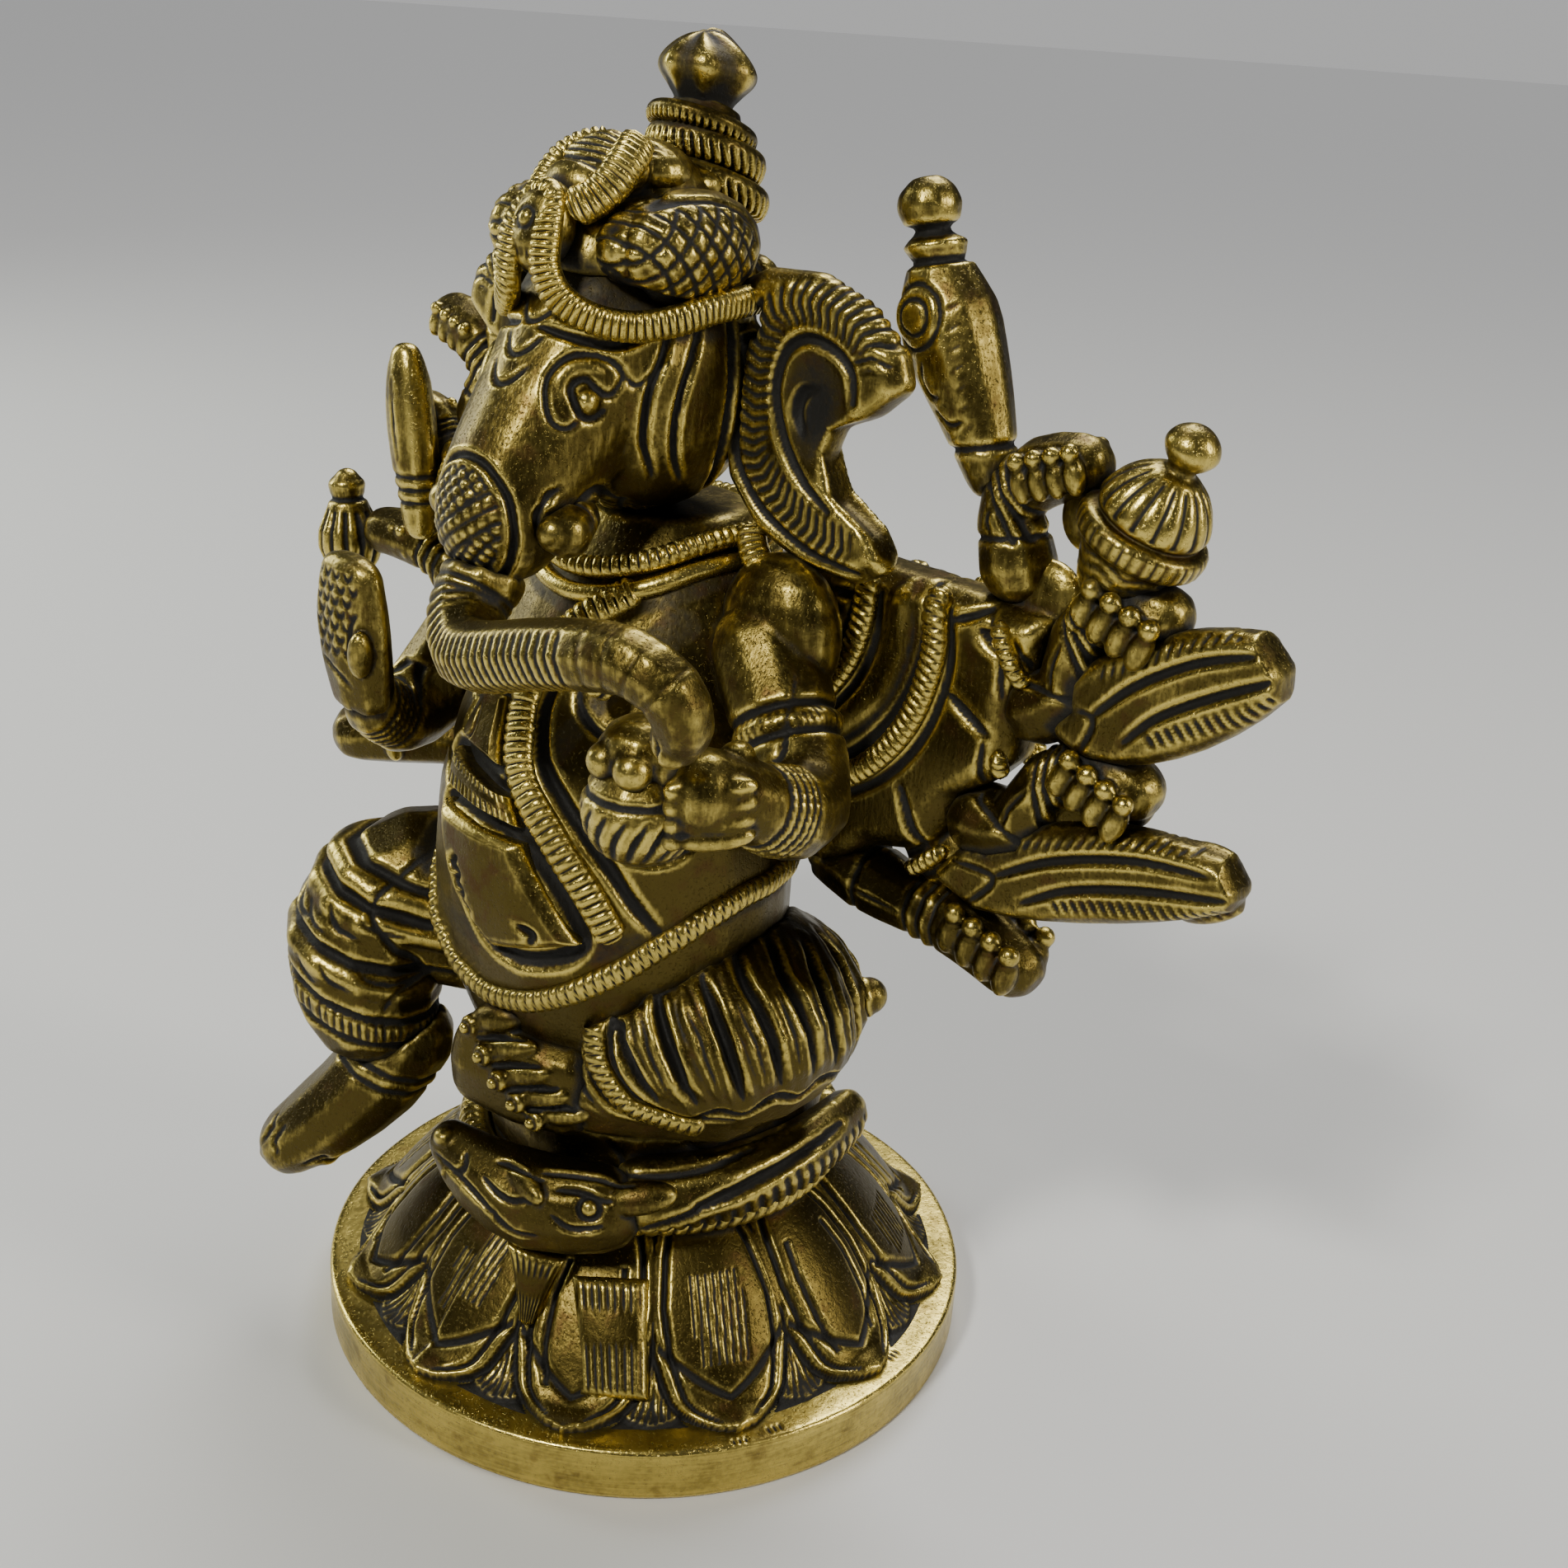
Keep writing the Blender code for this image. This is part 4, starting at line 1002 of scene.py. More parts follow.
def feet():
    """The folded left foot with its toes stacked at the front, and the hanging right foot."""
    nails = ((-1.3, -16.4, 28.3), (0.4, -16.7, 26.9), (1.9, -16.7, 25.6), (3.2, -16.2, 24.3),
             (4.4, -15.6, 23.2))
    toes = []
    for k, (x, y, z) in enumerate(nails):
        radius = 1.1 if k == 0 else 0.82
        toes.append(bead((x - 0.5, y + 0.5, z), (x + 3.4, y + 1.6, z + 1.3), radius))
        toes.append(ball((x, y - 0.15, z - 0.1), 0.74))
    skin = Skin(wax("left_foot_and_toes", ["left_foot"], toes, fine=True))
    for x, y, z in nails:
        skin.boss((x, y - 0.7, z - 0.1), 0.42, 0.12, 0.2)
    for (x, y, z), (x2, y2, z2) in zip(nails, nails[1:]):
        skin.stroke([((x + x2) / 2 + t, (y + y2) / 2 + 0.3 * t, (z + z2) / 2 + 0.36 * t)
                     for t in (0, 1.6, 3.4)],
                    width=0.42, depth=0.5, taper=0.2)
    skin.done("brass_body", "left_foot")
    toes = []
    for k in range(5):
        x = -19.2 + 0.95 * k
        toes.append(ball((x, -20.6 + 0.55 * k, 11.4 + 0.1 * k), (0.75, 1.0, 0.7)))
    skin = Skin(wax("right_foot_and_toes", ["right_foot"], toes))
    for k in range(4):
        x = -18.7 + 0.95 * k
        skin.stroke([(x, -20.8 + 0.55 * k, 12.4), (x + 0.9, -19.2 + 0.55 * k, 13.8)], width=0.4, depth=0.35)
    skin.girdle((-13.6, -14.6, 19.2), (-0.3, -0.25, -0.9), 5.5, 0.6, 0.25)
    skin.girdle((-13.3, -14.2, 20.3), (-0.3, -0.25, -0.9), 5.5, 0.6, 0.25)
    skin.done("brass_body", "right_foot")


def pendant_leg():
    """The right leg hanging over the seat, in a loincloth with wide level folds."""
    skin = Skin(wax("right_thigh", ["pendant_leg"], smooth=12))
    lean = (0.28, 0.12, 0.95)
    for level, wide, deep in ((36.0, 0.7, 0.45), (33.8, 0.9, 0.6), (29.6, 0.9, 0.6),
                              (25.9, 0.7, 0.5), (23.7, 0.6, 0.4)):
        skin.girdle((-14.6, -15.4, level), lean, 9.6, wide, deep)
    for level in (34.9, 32.6, 28.2):
        skin.girdle((-14.6, -15.4, level), lean, 9.6, 1.5, 0.3, raised=True)
    for k in range(4):
        x = -18.6 + 2.2 * k
        skin.stroke([(x, 33.2 - 0.5 * (k % 2)), (x + 0.9, 31.6), (x + 2.6, 31.0)], "front", 0.5, 0.3)
        skin.stroke([(x + 0.4, 29.0), (x + 1.2, 27.8), (x + 2.8, 27.2)], "front", 0.45, 0.28)
    axis = np.array((-14.3, -14.8))
    angle = np.arctan2(skin.points[:, 0] - axis[0], skin.points[:, 1] - axis[1])
    tilt = skin.points @ (np.array(lean) / np.linalg.norm(lean))
    base = np.array((-14.6, -15.4, 24.7)) @ (np.array(lean) / np.linalg.norm(lean))
    hem = np.abs(tilt - base) < 0.75
    skin.field(hem, notch(angle * 5.0 / 0.62, 0.3) * 0.3)
    skin.stroke([(-18.6, 33.2), (-17.2, 31.8), (-15.6, 31.6)], "front", 0.8, 0.4)
    skin.stroke([(-10.4, 36.6), (-11.4, 33.0), (-9.8, 29.0), (-10.2, 25.0)], "front", 0.6, 0.35)
    skin.done("brass_body", "pendant_leg")


# ---------------------------------------------------------------- head, trunk and ears

def head():
    """Elephant head: almond eyes, long cheek creases, and a scaled boss over the trunk."""
    bosses = [ball((0.0, -15.9, 63.0), (4.0, 2.5, 4.1))]
    for sign in (1, -1):
        bosses.append(ball((sign * 4.35, -12.6, 70.4), 0.75))
        bosses.append(ball((sign * 3.2, -14.9, 64.6), (1.3, 1.6, 0.8)))
    skin = Skin(wax("elephant_head", ["head"], bosses, fine=True, smooth=90))
    skin.both([(-10.7, 71.3), (-10.5, 71.9), (-11.2, 72.7), (-12.2, 73.0), (-13.3, 72.6), (-14.2, 71.6),
               (-14.6, 70.4), (-14.6, 69.3), (-14.0, 68.9), (-13.3, 69.3)], 0.42, 0.4, taper=0.15)
    skin.both([(-10.7, 71.3), (-11.3, 70.7), (-12.0, 71.0), (-12.5, 71.6), (-13.2, 71.3), (-13.4, 70.4),
               (-13.1, 69.6), (-12.4, 69.4), (-11.7, 69.9)], 0.4, 0.42, taper=0.15)
    skin.both([(-11.6, 72.0), (-12.6, 72.3), (-13.6, 71.6), (-14.0, 70.3)], 0.9, 0.22, raised=True)
    skin.both([(-10.6, 72.0), (-9.6, 71.2), (-8.3, 72.6)], 0.36, 0.25)
    skin.both([(-7.2, 74.9), (-8.0, 73.3), (-9.0, 70.8), (-9.0, 67.9), (-7.6, 65.3)], 0.62, 0.5, taper=0.35)
    skin.both([(-5.2, 74.9), (-6.3, 72.9), (-7.4, 69.8), (-7.0, 67.0), (-5.6, 64.9)], 0.62, 0.5, taper=0.35)
    skin.both([(-2.7, 75.4), (-3.2, 72.0), (-3.4, 68.6), (-2.8, 65.4), (-1.6, 63.0)], 0.85, 0.6, taper=0.2)
    skin.both([(-15.6, 62.6), (-16.0, 64.0), (-15.4, 65.1), (-14.4, 65.6)], 0.5, 0.4)
    skin.both([(-13.4, 64.3), (-11.6, 65.0), (-9.6, 64.2), (-7.4, 63.2)], 0.8, 0.45)
    skin.both([(-13.9, 74.8), (-12.7, 73.9), (-10.8, 73.5), (-8.8, 74.2), (-6.2, 75.1), (-2.8, 75.2)],
              0.7, 0.55, taper=0.15)
    for level in (73.2, 71.6, 75.0):
        skin.stroke([(-1.5, level + 0.6), (-0.8, level - 0.3), (0, level - 0.6), (0.8, level - 0.3),
                     (1.5, level + 0.6)], "front", 0.45, 0.32)
    middle = (0.0, 63.2)
    rim = [(middle[0] + 3.5 * math.sin(t * math.pi / 6), middle[1] + 3.9 * math.cos(t * math.pi / 6))
           for t in range(12)]
    skin.stroke(rim, "front", 0.6, 0.45, closed=True)
    x = skin.points[:, 0] - middle[0]
    z = skin.points[:, 2] - middle[1]
    inside = (np.hypot(x / 3.2, z / 3.6) < 0.94) & (skin.normals[:, 1] < -0.1)
    leaf = np.abs(z - 0.75 * x + 0.6)
    scales = np.maximum(notch((x + z) / 0.95, 0.2), notch((x - z) / 0.95, 0.2)) * 0.28
    veins = notch((x * 0.9 + z * 0.5) / 0.7, 0.2) * 0.16
    skin.field(inside & (leaf > 1.3), scales)
    skin.field(inside & (leaf > 0.25) & (leaf < 0.95), veins)
    skin.field(inside, 0.34 * np.clip(1 - np.abs(leaf - 1.1) / 0.2, 0, 1))
    skin.field(inside, 0.3 * np.clip(1 - leaf / 0.18, 0, 1))
    for k in range(11):
        y = -12.6 + 0.85 * k
        skin.both([(y, 66.2 + (k % 3) * 0.5), (y + 0.25, 69.0 + (k % 2) * 0.6)], 0.16, 0.06, burr=0)
    skin.done("brass_body", "head", reach=0.55)
    for side, sign in (("left", 1), ("right", -1)):
        tusk = Skin(wax("tusk_ball_" + side, ["tusk_" + side], [ball((sign * 4.9, -15.3, 63.1), 1.15)],
                        fine=True))
        tusk.girdle((sign * 4.1, -13.6, 63.2), (sign * 0.55, -0.8, -0.1), 2.5, 0.5, 0.25)
        tusk.done("brass_body", "tusk_" + side)


TRUNK_LINE = ((0.2, -16.6, 59.8), (0.6, -18.4, 57.6), (3.0, -20.2, 56.4), (6.6, -21.4, 57.3),
              (10.4, -22.0, 58.6), (14.7, -22.5, 59.9), (18.4, -22.3, 60.5), (20.9, -21.7, 59.4),
              (21.2, -21.0, 57.6), (20.2, -20.4, 56.2))


def trunk():
    """Trunk with wrinkles cut across its underside and a two-lobed tip."""
    skin = Skin(wax("long_trunk", ["trunk"], [ball((20.7, -21.2, 55.9), (0.95, 0.95, 0.9)),
                                              ball((19.7, -20.2, 55.6), (0.9, 0.9, 0.8))],
                    fine=True, smooth=12))
    line = smooth_line(TRUNK_LINE, steps=40)
    marks = np.concatenate([[0], np.cumsum(np.linalg.norm(np.diff(line, axis=0), axis=1))])
    for along in np.arange(1.2, 19.5, 0.74):
        place = np.array([np.interp(along, marks, line[:, k]) for k in range(3)])
        ahead = np.array([np.interp(along + 0.4, marks, line[:, k]) for k in range(3)]) - place
        skin.girdle(place, ahead, 3.0, 0.42, 0.26, facing=(0.3, -0.75, -0.75))
    for along in (20.5, 22.0, 23.4, 25.0):
        place = np.array([np.interp(along, marks, line[:, k]) for k in range(3)])
        ahead = np.array([np.interp(along + 0.4, marks, line[:, k]) for k in range(3)]) - place
        skin.girdle(place, ahead, 3.0, 0.3, 0.1, facing=(0.6, -0.6, -0.2))
    skin.stroke([(20.6, -22.4, 57.2), (20.4, -21.8, 56.0), (20.2, -21.0, 55.0)], width=0.45, depth=0.4)
    skin.done("brass_body", "trunk")


EAR_RIM = ((17.0, 73.0), (16.7, 74.6), (15.0, 75.9), (12.3, 76.4), (10.1, 75.8), (9.0, 74.4), (8.5, 72.6),
           (8.4, 70.6), (8.3, 68.2), (9.0, 66.3), (11.0, 64.5), (13.8, 63.2), (16.8, 62.4))
EAR_BOWL = ((15.9, 71.3), (15.6, 72.9), (14.3, 74.0), (12.2, 74.4), (10.7, 73.6), (10.0, 72.0),
            (10.0, 70.2), (10.9, 67.9), (12.6, 65.9), (14.6, 64.6))


def ears():
    """Scalloped ears with a notched rim and a plain bowl."""
    for side, sign in (("left", 1), ("right", -1)):
        skin = Skin(wax("big_ear_" + side, ["ear_" + side], fine=True, smooth=24))
        for face in ("front", "back"):
            skin.stroke([(sign * x, z) for x, z in EAR_BOWL], face, 0.8, 0.55, taper=0.15)
            skin.stroke([(sign * x, z) for x, z in ((8.4, 76.0), (7.3, 74.2), (6.9, 71.6), (6.8, 68.6),
                                                    (7.2, 66.0), (9.4, 63.6), (13.0, 61.9), (17.0, 61.3))],
                        face, 0.75, 0.55, taper=0.15)
            skin.stroke([(sign * x, z) for x, z in ((13.2, 71.6), (12.0, 71.2), (11.6, 70.0), (12.3, 68.6))],
                        face, 0.85, 0.55, taper=0.6)
        bowl = np.clip(1 - np.hypot((np.abs(skin.points[:, 0]) - 13.0) / 3.0,
                                    (skin.points[:, 2] - 70.4) / 4.6) ** 2, 0, 1)
        skin.cut += 0.3 * bowl * (np.abs(skin.normals[:, 1]) > 0.6)
        rim = [(sign * x, z) for x, z in EAR_RIM]
        skin.notched_zone(rim, (0, 2), 1.5, 0.72, 0.32, lean=0.35)
        skin.done("brass_body", "ear_" + side)


# ---------------------------------------------------------------- crown

def crown():
    """Quilted side pads and a domed cap, held by a notched band."""
    cap = Skin(wax("cap", ["crown_cap"], [ball((3.4, 2.2, 76.6), (1.6, 1.5, 1.3)),
                                          ball((-3.4, 2.2, 76.6), (1.6, 1.5, 1.3)),
                                          ball((0, -3.4, 80.8), (3.9, 4.0, 3.0))], smooth=12))
    for k in range(9):
        angle = 140 + 10 * k
        cap.stroke([(angle, 79.2), (angle, 76.8)], "round", 0.4, 0.25)
    cap.stroke([(0, -9.2), (0.3, -6.0), (0, -3.0)], "top", 0.5, 0.3)
    cap.done("brass_body", "crown_cap")
    for side, sign in (("left", 1), ("right", -1)):
        pad = Skin(wax("quilted_pad_" + side, ["crown_pad_" + side],
                       [ball((sign * 4.2, -7.4, 78.7), (2.7, 4.0, 2.5))], fine=True, smooth=12, lift=0.3))
        place = pad.points
        first = (place[:, 1] * 0.85 - (place[:, 2] - 78.7) * 0.75 + 30) / 1.28
        second = (place[:, 1] * 0.85 + (place[:, 2] - 78.7) * 0.75 + 30) / 1.28
        off = np.hypot((place[:, 1] + 6.6) / 5.4, (place[:, 2] - 78.8) / 2.9)
        quilt = np.maximum(notch(first, 0.15), notch(second, 0.15))
        pillow = 1 - np.maximum(np.abs(first % 1 - 0.5), np.abs(second % 1 - 0.5)) * 2
        mask = (off < 0.9) & (place[:, 0] * sign > 1.6)
        pad.rise = np.where(mask, 0.10 - 0.08 * (1 - quilt) * np.abs(pillow - 0.5), pad.rise)
        pad.rise = np.maximum(pad.rise, 0)
        pad.field(mask, quilt * 0.34)
        border = np.clip(1 - ((off - 0.97) / 0.06) ** 2, 0, 1) * (place[:, 0] * sign > 1.2)
        pad.cut = np.maximum(pad.cut, border * 0.3)
        pad.done("brass_body", "crown_pad_" + side)
    half = ((0.6, -12.3, 81.2), (1.3, -13.2, 79.6), (1.6, -13.6, 77.6), (2.3, -13.0, 75.9),
            (3.8, -11.8, 74.9), (5.6, -10.2, 74.6), (7.0, -8.2, 75.0), (7.6, -5.8, 75.6),
            (7.4, -3.0, 75.8), (6.8, -0.6, 75.9), (5.4, 2.2, 76.0), (2.8, 4.3, 76.1))
    loop = list(half) + [(-x, y, z) for x, y, z in reversed(half)]
    line = smooth_line(loop, closed=True)
    outs = line - np.array((0, -4.0, 77.4))
    outs[:, 2] *= 0.35
    outs /= np.linalg.norm(outs, axis=1)[:, None]
    notched_band("brow_band", line, outs, 0.95, 0.75, 0.46, depth=0.45, closed=True, lift=-0.1,
                 nodes=("crown_band",))
    front = Skin(wax("front_plate", ["crown_front"], [ball((0, -13.0, 79.9), (0.8, 0.7, 1.2))], fine=True))
    front.boss((0, -13.7, 80.2), 0.5, 0.12, 0.2)
    for k in range(7):
        front.stroke([(-1.5 + 0.5 * k, 78.7), (-1.3 + 0.43 * k, 77.9)], "front", 0.26, 0.2)
    front.done("brass_body", "crown_front")
    curl = Skin(wax("front_curl", ["crown_curl"],
                    [ball((0, -9.6, 81.8), (2.4, 1.7, 1.6)), ball((0, -7.6, 82.8), (3.2, 2.2, 1.8)),
                     ball((0, -4.6, 82.6), (3.5, 2.8, 1.9)), ball((0, -1.6, 81.9), (3.6, 3.0, 1.6))],
                    fine=True))
    for k in range(11):
        angle = 18 + 13 * k
        y = -7.6 - 2.6 * math.cos(math.radians(angle))
        z = 82.2 + 2.2 * math.sin(math.radians(angle))
        curl.stroke([(-2.4, y + 0.4, z), (0, y, z + 0.25), (2.4, y + 0.4, z)], width=0.34, depth=0.28)
    curl.both([(-5.6, 83.6), (-6.8, 84.2), (-8.3, 83.4), (-8.6, 82.0), (-7.6, 81.4)], 0.4, 0.35)
    curl.done("brass_body", "crown_curl")
    for side, sign in (("left", 1), ("right", -1)):
        line = smooth_line([(sign * 1.1, -6.0, 84.2), (sign * 2.0, -7.2, 83.9), (sign * 2.6, -8.4, 83.2),
                            (sign * 2.7, -9.5, 82.2), (sign * 2.3, -10.6, 81.3), (sign * 1.7, -11.9, 80.7)])
        outs = line - np.array((0, -7.6, 80.6))
        outs /= np.linalg.norm(outs, axis=1)[:, None]
        notched_band("curl_roll_" + side, line, outs, 1.15, 0.85, 0.5, depth=0.42, lift=-0.1,
                     slot="brass_body", wax_and_shade=0.1)


def crown_rings():
    """Three notched rings and the onion finial, leaning back."""
    for name, notches, tall, drop in (("lower", 36, 0.95, 0.6), ("middle", 34, 0.95, 1.0),
                                      ("upper", 40, 0.62, 1.7)):
        low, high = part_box("crown_ring_" + name)
        centre = (low + high) / 2 / MM - Vector((0, 0.8, drop))
        radius = (high.x - low.x) / 2 / MM * 1.1
        lean = Vector((0, math.sin(math.radians(21)), math.cos(math.radians(21))))
        profile = [(radius * 0.62, -1.3), (radius * 0.70, -tall * 1.1), (radius * 0.95, -tall * 0.9),
                   (radius * 1.02, -tall * 0.4), (radius * 1.03, 0.0), (radius * 1.02, tall * 0.4),
                   (radius * 0.94, tall * 0.9), (radius * 0.72, tall * 1.05), (radius * 0.6, 1.3)]
        piece = turned("crown_turn_" + name, profile, centre, lean, sides=256)
        skin = Skin(piece)
        away = skin.points - np.array(centre)
        level = away @ np.array(lean)
        angle = np.arctan2(away[:, 0], -away[:, 1])
        phase = notches * angle / (2 * math.pi) + level * (0.0 if name == "upper" else 0.25)
        rim = np.clip((tall + 0.7 - np.abs(level)) * 2.5, 0, 1)
        cut = notch(phase, 0.24) * rim * 0.42
        skin.points += skin.normals * -cut[:, None]
        skin.cut = np.zeros(len(cut))
        skin.normals *= 0
        # Darker in the notches and at the top and bottom of each ring, where it turns in towards the next
        # one; lighter elsewhere.
        skin.stain = cut * 1.3 - 0.4 + 0.4 * np.clip(np.abs(level) - tall * 0.9, 0, 0.6)
        skin.done("brass_body", "crown_ring_" + name)
    base = Vector((0, 0.2, 84.95))
    lean = Vector((0, math.sin(math.radians(11)), math.cos(math.radians(11))))
    piece = turned("onion", [(1.75, -1.2), (1.8, 0.1), (2.3, 0.8), (3.05, 1.6), (3.2, 2.2), (2.95, 2.8),
                             (2.3, 3.5), (1.45, 4.1), (0.6, 4.5), (0.08, 4.6)], base, lean, sides=96)
    skin = Skin(piece)
    away = skin.points - np.array(base)
    angle = np.arctan2(away[:, 0], -away[:, 1])
    facets = np.abs(np.sin(3 * angle + 0.6)) * np.clip(away[:, 2] - 1.0, 0, 1.4)
    skin.cut += 0.16 * facets
    # Darker at the foot of the finial, where it sits in the upper ring.
    skin.stain += 0.75 * np.clip(0.9 - away[:, 2], 0, 1)
    skin.done("brass_bright", "finial")


# ---------------------------------------------------------------- fanned arms and what they hold

ARM_LINES = {
    1: ((24.2, 62.4), (23.6, 64.2), (23.2, 66.2), (25.3, 68.4), (27.8, 69.2)),
    2: ((26.6, 54.4), (29.0, 56.0), (29.2, 59.6), (31.8, 61.7), (34.2, 61.9)),
    3: ((23.6, 46.0), (26.6, 46.6), (28.2, 50.0), (31.8, 51.7), (34.0, 51.2)),
    4: ((11.6, 40.4), (15.4, 38.9), (19.6, 38.4), (23.8, 38.2), (27.4, 36.9)),
}


def fist(centre, stack, reach, size=1.0):
    """Four fingers closed over a handle: two rows of knuckles in the x-z plane."""
    stack = Vector((stack[0], 0, stack[1])).normalized()
    reach = Vector((reach[0], 0, reach[1])).normalized()
    parts = []
    for front in (-1, 1):
        for k in range(4):
            middle = Vector(centre) + stack * (1.22 * size * (k - 1.5)) + Vector((0, front * 1.35 * size, 0))
            parts.append(bead(middle - reach * 0.9 * size, middle + reach * 1.5 * size, 0.66 * size))
            parts.append(ball(middle - reach * 1.0 * size + Vector((0, front * 0.25, 0)), 0.56 * size))
    return parts


def arm(side, number, centre, stack, reach, size=1.0):
    """One of the fanned forearms: elbow, wrist bangles and a closed fist."""
    sign = 1 if side == "left" else -1
    name = side + "_arm_" + str(number)
    centre = (sign * centre[0], centre[1], centre[2])
    stack = (sign * stack[0], stack[1])
    reach = (sign * reach[0], reach[1])
    skin = Skin(wax("hand_" + side + "_" + str(number), [name], fist(centre, stack, reach, size), fine=True,
                    smooth=10))
    line = [(sign * x, z) for x, z in ARM_LINES[number]]
    wrist = np.array((line[2][0], 3.6, line[2][1]))
    before = np.array((line[1][0], 3.6, line[1][1]))
    way = np.array((centre[0], 3.6, centre[2])) - wrist
    for share in (0.02, 0.2, 0.38):
        skin.girdle(wrist + way * share, way, 2.9, 0.34, 0.3)
    for share in (0.11, 0.29):
        skin.girdle(wrist + way * share, way, 2.9, 0.4, 0.14, raised=True)
    fore = wrist - before
    skin.girdle(before + fore * 0.05, fore, 3.0, 0.4, 0.3)
    for face in ("front", "back"):
        inner = [(x - sign * 0.1, z) for x, z in line[1:3]]
        skin.stroke([inner[0], ((inner[0][0] + inner[1][0]) / 2 - sign * 0.5,
                                (inner[0][1] + inner[1][1]) / 2), inner[1]], face, 0.4, 0.22)
    skin.done("brass_body", name)


def fanned_arms():
    """The eight raised hands."""
    arm("left", 1, (26.6, 3.4, 68.7), (1.0, 0.35), (0.3, -1.0), 1.0)
    arm("left", 2, (32.4, 3.2, 61.4), (1.0, -0.35), (-0.4, -1.0), 1.15)
    arm("left", 3, (32.4, 3.2, 51.0), (1.0, -0.4), (-0.4, -1.0), 1.15)
    arm("left", 4, (26.0, 3.4, 38.4), (1.0, -0.3), (-0.2, -1.0), 1.25)
    arm("right", 1, (26.4, 3.6, 68.6), (1.0, 0.35), (0.3, -1.0), 0.9)
    arm("right", 2, (30.6, 3.3, 61.3), (1.0, -0.2), (-0.2, -1.0), 0.85)
    arm("right", 3, (33.0, 3.0, 51.3), (1.0, -0.1), (-0.2, -1.0), 0.9)
    arm("right", 4, (27.0, -3.0, 38.0), (1.0, -0.2), (-0.2, -1.0), 1.15)


def filling(sign):
    """Webs of metal left between the hands of one side."""
    if sign < 0:
        return [ball((-28.0, 3.8, 57.0), (2.0, 1.1, 2.4)), ball((-27.6, 3.6, 49.0), (2.0, 1.1, 2.2))]
    return [ball((30.4, 4.4, 54.6), (3.6, 1.1, 2.8)), ball((29.8, 4.4, 47.6), (3.6, 1.1, 2.6)),
            ball((25.2, 4.3, 43.2), (3.2, 1.1, 2.4)), ball((26.4, 4.2, 60.6), (2.6, 1.2, 2.8)),
            ball((20.8, 4.2, 42.4), (3.0, 1.2, 2.2)),
            ball((28.6, 4.2, 66.4), (2.0, 1.0, 2.2))]


def on_side(points, sign):
    """Points given for the left side, taken to the side of the sign."""
    return [(sign * x, z) for x, z in points]


def fans():
    """The joined upper arms of each side, with their notched armlets."""
    inner = ((15.0, 60.0), (14.9, 57.2), (13.9, 54.2), (12.0, 51.6), (9.6, 49.6))
    crescent = ((17.6, 60.2), (17.6, 56.6), (16.3, 53.0), (13.9, 50.2), (11.0, 48.2))
    outer = ((20.3, 60.2), (20.7, 56.6), (19.5, 52.2), (17.0, 48.6), (13.8, 46.2), (10.6, 45.0))
    elbows = (((24.9, 59.6), (26.1, 57.2), (26.4, 54.6)), ((25.6, 51.6), (25.3, 48.6), (24.0, 45.6)),
              ((21.8, 43.4), (19.2, 41.2), (16.4, 40.2)))
    rays = (((15.6, 58.6), (12.4, 58.4)), ((21.6, 54.4), (25.0, 52.4)), ((18.8, 47.4), (20.6, 43.0)),
            ((13.2, 45.4), (13.0, 41.2)), ((21.4, 58.8), (24.0, 60.2)))
    for side, sign in (("left", 1), ("right", -1)):
        skin = Skin(wax("arms_fan_" + side, [side + "_fan"], filling(sign), smooth=22))
        laid = []
        for face in ("front", "back"):
            for points in (inner, outer):
                for off in (-1.25, 1.25):
                    beside = [(x + off * 0.8, z - off * 0.6) for x, z in points]
                    skin.stroke(on_side(beside, sign), face, 0.6, 0.42, taper=0.1)
            skin.stroke(on_side(crescent, sign), face, 2.2, 0.4, taper=0.3, raised=True)
            for points in rays:
                skin.stroke(on_side(points, sign), face, 0.75, 0.55)
            for points in elbows:
                for off in (-0.9, 0.9):
                    beside = [(x + off, z - off * 0.4) for x, z in points]
                    skin.stroke(on_side(beside, sign), face, 0.45, 0.35, taper=0.2)
                laid.append((face, "elbow", skin.route(on_side(points, sign), face)))
            skin.stroke(on_side(((23.4, 58.9), (25.0, 58.3), (26.6, 58.1)), sign), face, 1.3, 1.1, taper=0.7)
            laid.append((face, "inner", skin.route(on_side(inner, sign), face)))
            laid.append((face, "outer", skin.route(on_side(outer, sign), face)))
        skin.done("brass_body", side + "_fan", reach=0.3)
        number = 0
        for face, kind, route in laid:
            if route is None:
                continue
            number += 1
            nodes = (side + "_armlet",) if (face, kind) == ("front", "outer") else ()
            width = 0.6 if kind == "elbow" else 0.85
            notched_band("armlet_%s_%d" % (side, number), *route, width, 0.75, 0.62, lean=0.2, depth=0.5,
                         lift=0.3 if kind == "outer" and face == "front" else 0.05,
                         nodes=nodes)


